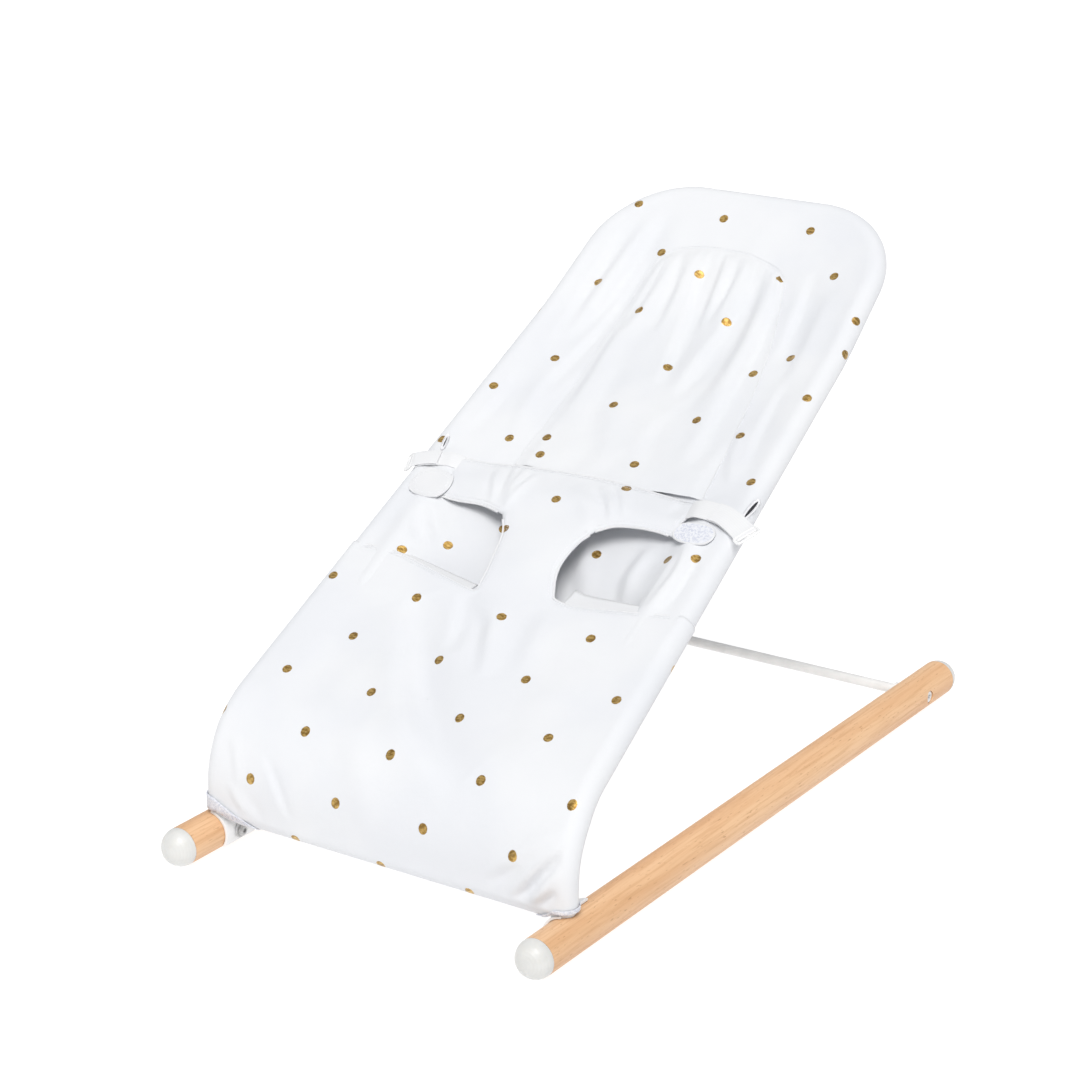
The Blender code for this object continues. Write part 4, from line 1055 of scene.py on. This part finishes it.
def soft_corners(u, v, roundness):
    """Points of a square from -1 to 1, pulled in towards an ellipse by roundness, from 0 to 1."""
    return u * np.sqrt(1 - roundness * v * v / 2), v * np.sqrt(1 - roundness * u * u / 2)


def border(count):
    """Points round the edge of a square from -1 to 1."""
    run = np.linspace(-1, 1, count, endpoint=False)
    one = np.ones(count)
    return np.concatenate([run, one, -run, -one]), np.concatenate([-one, run, one, -run])


def turned(middle, a, b, tilt):
    """x and s of the points a along and b across from a middle, in directions turned by a tilt."""
    x = middle[0] + a * math.cos(tilt) - b * math.sin(tilt)
    s = middle[1] + a * math.sin(tilt) + b * math.cos(tilt)
    return x, s


class Patch:
    """A small flat piece of cloth with soft corners, tilted on the seat."""

    def __init__(self, middle, half, roundness, tilt, height):
        self.middle, self.half, self.roundness = middle, half, roundness
        self.tilt, self.height = tilt, height

    def at(self, u, v, inset=0.0, above=0.0):
        """Cloth coordinates and places of the points u, v of the patch."""
        a, b = soft_corners(u, v, self.roundness)
        a, b = a * (self.half[0] - inset), b * (self.half[1] - inset)
        x, s = turned(self.middle, a, b, self.tilt)
        return np.stack([a, b], axis=-1), seat(x, s, self.height + above)

    def cloth(self, name, material, thickness):
        u, v = np.meshgrid(np.linspace(-1, 1, 23), np.linspace(-1, 1, 19))
        flat, points = self.at(u, v)
        obj = sheet_object(name, points, flat, None, material)
        return bake(thicken(obj, thickness))

    def edge(self, name, material, radius, above):
        _, line = self.at(*border(26), 0.0, above)
        return rod(name, line, radius, material, closed=True)

    def row(self, name, inset, above):
        u, v = border(26)
        _, line = self.at(np.r_[u, u[0]], np.r_[v, v[0]], inset, above)
        return stitches(name, line)


# Where each side's fastenings lie: the two sides are strapped a little differently
STRAPS = {
    "left": [(-0.128, 0.4085, 0.0080), (-0.138, 0.4075, 0.0118), (-0.146, 0.4060, 0.0126),
             (-0.157, 0.4035, 0.0128), (-0.166, 0.4010, 0.0130), (-0.1738, 0.3980, 0.0104)],
    "right": [(0.1180, 0.4085, 0.0082), (0.128, 0.4090, 0.0128), (0.142, 0.4078, 0.0142),
              (0.157, 0.4050, 0.0144), (0.169, 0.4000, 0.0138), (0.1765, 0.3960, 0.0118)],
}
TAILS = {
    "left": [(-0.150, 0.4052, 0.0144), (-0.160, 0.4030, 0.0145), (-0.171, 0.3992, 0.0138),
             (-0.1755, 0.3972, 0.0130), (-0.1795, 0.3960, 0.0106)],
    "right": [(0.146, 0.4072, 0.0160), (0.157, 0.4050, 0.0161), (0.169, 0.4000, 0.0155),
              (0.179, 0.3945, 0.0142), (0.1865, 0.3900, 0.0142)],
}
STRAP_WIDTH = {"left": 0.0170, "right": 0.0212}
SLOTS = {"left": ((-0.1585, 0.4275), 0.0098, 0.20), "right": ((0.1725, 0.4235), 0.0140, -0.06)}
TABS = {
    "left": Patch((-0.1420, 0.3752), (0.0205, 0.0165), 0.75, -0.06, 0.0132),
    "right": Patch((0.1385, 0.3805), (0.0192, 0.0118), 0.85, 0.05, 0.0134),
}


def make_slot(name):
    """A buttonhole in the sling's sleeve: a near-black patch painted as the shadow inside its opening, within
    a round of close stitches.
    """
    middle, half, tilt = SLOTS[name]
    turn = np.linspace(0, 2 * math.pi, 49)
    outer, inner = (
        np.stack(turned(middle, width * np.cos(turn), reach * np.sin(turn), tilt), axis=-1)
        for reach, width in ((half, 0.0022), (half - 0.0016, 0.00085))
    )
    welt = rod(f"slot_welt_{name}", on_sling(0.5 * (outer + inner)[:-1], 0.0004), 0.0010, THREAD, 0.8,
               closed=True)
    share = np.linspace(0.05, 1, 5)[:, None, None]
    grid = inner[:-1][None] * share + np.array(middle) * (1 - share)
    rows, count = grid.shape[:2]
    points = on_sling(grid.reshape(-1, 2), 0.00045)
    faces = []
    for i in range(0, (rows - 1) * count, count):
        for j in range(count):
            k = (j + 1) % count
            faces.append([i + j, i + count + j, i + count + k, i + k])
    # A near-black patch painted as the shadow inside the opening
    slit_shadow = new_object(f"slot_{name}", points, faces, SLOT_SHADOW)
    above = np.array([0.0005, 0.0014, 0.0015, 0.0009])  # along a stitch, from outside the slit to its edge
    thread_radius, sides = 0.00028, 5
    points, faces = [], []
    for angle in np.linspace(0, 2 * math.pi, 64, endpoint=False):
        ends = [
            turned(middle, width * math.cos(angle), reach * math.sin(angle), tilt)
            for reach, width in ((half + 0.0008, 0.0031), (half - 0.0014, 0.0010))
        ]
        centre = on_sling(np.linspace(*ends, len(above)), above)
        _, one, two = frames(centre)
        faces += tube_faces(len(centre), sides, len(points))
        for place, a, b in zip(centre, one, two):
            points += ring(place, a, b, thread_radius, sides)
    bars = new_object(f"slot_stitches_{name}", points, faces, THREAD)
    return [welt, slit_shadow, bars]


def make_clip(name):
    """The white slider at the end of a strap's tail: a rounded frame with a bar across it."""
    line = through(TAILS[name], 40)
    end, before = line[-1], line[-4]
    heading = (end - before) / np.linalg.norm(end - before)
    width = STRAP_WIDTH[name]
    across = np.array([-heading[1], heading[0], 0.0])
    across /= np.linalg.norm(across)
    u, v = border(16)
    a, b = soft_corners(u, v, 0.35)
    middle = end + heading * 0.0010
    place = middle + a[:, None] * heading * 0.0042 + b[:, None] * across * (width / 2 + 0.0010)
    ring = rod(f"tail_clip_ring_{name}", seat(*place.T), 0.00135, WHITE_PLASTIC, 0.9, 10, closed=True)
    bar_line = middle + np.linspace(-1, 1, 12)[:, None] * across * (width / 2)
    bar = rod(f"tail_clip_bar_{name}", seat(*bar_line.T), 0.00125, WHITE_PLASTIC, 0.9, 10)
    return ring, bar


# ---------------------------------------------------------------- hem trims at the feet


TRIM_WIDTH = {"left": 0.0135, "right": 0.0036}


def make_trim(name, side):
    """The grip tape bound round the bottom of a leg's sleeve and out along the hem's cut corner."""
    proud = 0.0007
    full = TRIM_WIDTH[name]
    rows, columns = 46, 6
    points, flat = [], []
    run = 0.0
    for k in range(rows):
        part = k / (rows - 1)
        if part < 0.5:  # round the leg, from behind to its front
            angle = math.radians(-95 + 185 * part / 0.5)
            low = HEM_S + 0.0004
            width = full
            x = tube_x(0.0) + (FRONT_RADIUS + proud) * math.cos(angle)
            h = (FRONT_RADIUS + proud) * math.sin(angle)
            line = [(side * x, low + width * v, h) for v in np.linspace(0, 1, columns)]
            run += 0.0018
        else:  # down the corner to the hem
            share = (part - 0.5) / 0.5
            angle = -math.radians(84) * share
            x = hem_reach(name, angle) - 0.0004
            low = HEM_S + HEM_RADIUS * math.sin(angle)
            width = (full - 0.0016) * (1 - share) ** 0.6 + 0.0016
            at = low + width * np.linspace(0, 1, columns)
            line = [(side * x, s, float(front_face(side * x, s)) + proud) for s in at]
            run += 0.0021
        points.append(line)
        flat.append([(run, 0.0012 * v) for v in range(columns)])
    points = seat(*np.moveaxis(np.array(points), -1, 0))
    flat = np.array(flat)
    if side > 0:
        points, flat = points[::-1], flat[::-1]
    obj = sheet_object(f"hem_trim_{name}", points, flat, None, HOOKS)
    return bake(thicken(obj, TAPE_THICKNESS))


# ---------------------------------------------------------------- assembling


def build_cover():
    sling = make_sling()
    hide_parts("seat_pocket", "back_panel", "side_strip_left", "side_strip_right")
    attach(sling, "seat")

    inset, seam, thread = make_inset()
    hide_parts("inset_panel")
    for piece in (inset, seam, thread):
        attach(piece, "seat")

    front = make_front()
    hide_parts("front_panel", "crotch_bridge", "waist_belt", "hem_wrap",
                "leg_cuff_left", "leg_cuff_right")
    trims = front_seams() + front_stitching() + [make_facing(name) for name in SIDES]
    for piece in trims:
        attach(piece, "seat")
    ends = [make_trim(name, side) for name, side in SIDES.items()]
    for piece in [front, *ends]:
        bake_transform(piece)


def build_fastenings():
    for name, side in SIDES.items():
        strap = band(f"strap_band_{name}", STRAPS[name], STRAP_WIDTH[name], WEBBING)
        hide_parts(f"strap_{name}")
        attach(strap, "seat")
        tail = band(f"tail_band_{name}", TAILS[name], STRAP_WIDTH[name], WEBBING, 0.0012)
        ring, bar = make_clip(name)
        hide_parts(f"strap_tail_{name}")
        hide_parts(f"tail_clip_{name}")
        for piece in (tail, ring, bar):
            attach(piece, f"tail_{name}")
        for piece in make_slot(name):
            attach(piece, "seat")
        patch = TABS[name]
        face = patch.cloth(f"tab_cloth_{name}", PLAIN if side < 0 else HOOKS, 0.0016)
        edge = patch.edge(f"tab_edge_{name}", PLAIN, 0.0011, -0.0008)
        row = patch.row(f"tab_stitches_{name}", 0.0034, 0.0001)
        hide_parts(f"tab_{name}")
        for piece in (face, edge, row):
            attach(piece, f"tab_{name}")


CAD_FINISHES = {
    "runner": BEECH,
    "end_cap": SILICONE,
    "crossbar": WHITE_STEEL,
    "crossbar_ferrule": WHITE_STEEL,
    "crossbar_bolt": ZINC,
    "saddle_foot": WHITE_PLASTIC,
    "saddle_washer": ZINC,
    "saddle_screw": ZINC,
    "threaded_insert": BRASS,
    "front_cross_tube": WHITE_STEEL,
    "leg_tube": WHITE_STEEL,
    "head_bow": WHITE_STEEL,
    "joint_sleeve": WHITE_STEEL,
    "joint_screw": ZINC,
}


def finish_frame():
    """Gives every hard CAD part its finish, by the longest name that fits."""
    for node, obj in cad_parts.items():
        fitting = [name for name in CAD_FINISHES if node.startswith(name)]
        if fitting:
            for slot_shadow in obj.material_slots:
                slot_shadow.material = CAD_FINISHES[max(fitting, key=len)]


def stage_material():
    """A lit white sweep, so that the floor stays pale under the seat."""
    n = Nodes("floor_finish")
    tone = n.mix(n.noise(n.place, 3.0), (0.22, 0.22, 0.22), (0.24, 0.24, 0.24))
    return n.finish(Base_Color=tone, Roughness=0.9, Emission_Color=(1, 1, 1, 1), Emission_Strength=0.90)


def build_stage():
    bpy.ops.mesh.primitive_plane_add(size=24)
    floor = bpy.context.object
    floor.name = "floor"
    floor.data.materials.append(stage_material())
    world = bpy.data.worlds.new("studio")
    world.use_nodes = True
    nodes, links = world.node_tree.nodes, world.node_tree.links
    nodes["Background"].inputs[0].default_value = (0.95, 0.975, 1.0, 1)
    split = nodes.new("ShaderNodeSeparateXYZ")
    height = nodes.new("ShaderNodeMapRange")
    for socket, value in zip(("From Min", "From Max", "To Min", "To Max"), (0.0, 1.0, 0.30, 0.60)):
        height.inputs[socket].default_value = value
    links.new(nodes.new("ShaderNodeTexCoord").outputs["Generated"], split.inputs[0])
    links.new(split.outputs[2], height.inputs["Value"])
    links.new(height.outputs[0], nodes["Background"].inputs[1])
    bpy.context.scene.world = world
    lamp = bpy.data.lights.new("key", "SUN")
    lamp.energy = 2.20
    lamp.angle = math.radians(34)
    lamp.color = (1.0, 0.990, 0.972)
    key = bpy.data.objects.new("key", lamp)
    key.rotation_euler = Vector((-0.30, 0.47, -0.83)).to_track_quat("-Z", "Y").to_euler()
    bpy.context.scene.collection.objects.link(key)


CAMERA = (1.3359, -2.0709, 1.0962)
CAMERA_TURN = math.radians(33.82)  # round the seat, from straight in front
CAMERA_RISE = math.radians(19.3)


def build_camera():
    data = bpy.data.cameras.new("camera")
    data.lens = 94.9
    data.sensor_width = 36.0
    data.clip_end = 60.0
    camera = bpy.data.objects.new("camera", data)
    camera.location = CAMERA
    back = Vector((math.sin(CAMERA_TURN) * math.cos(CAMERA_RISE),
                   -math.cos(CAMERA_TURN) * math.cos(CAMERA_RISE), math.sin(CAMERA_RISE)))
    camera.rotation_euler = (-back).to_track_quat("-Z", "Y").to_euler()
    bpy.context.scene.collection.objects.link(camera)
    bpy.context.scene.camera = camera


bpy.context.scene.view_settings.view_transform = "Standard"
finish_frame()
build_cover()
build_fastenings()
build_stage()
build_camera()
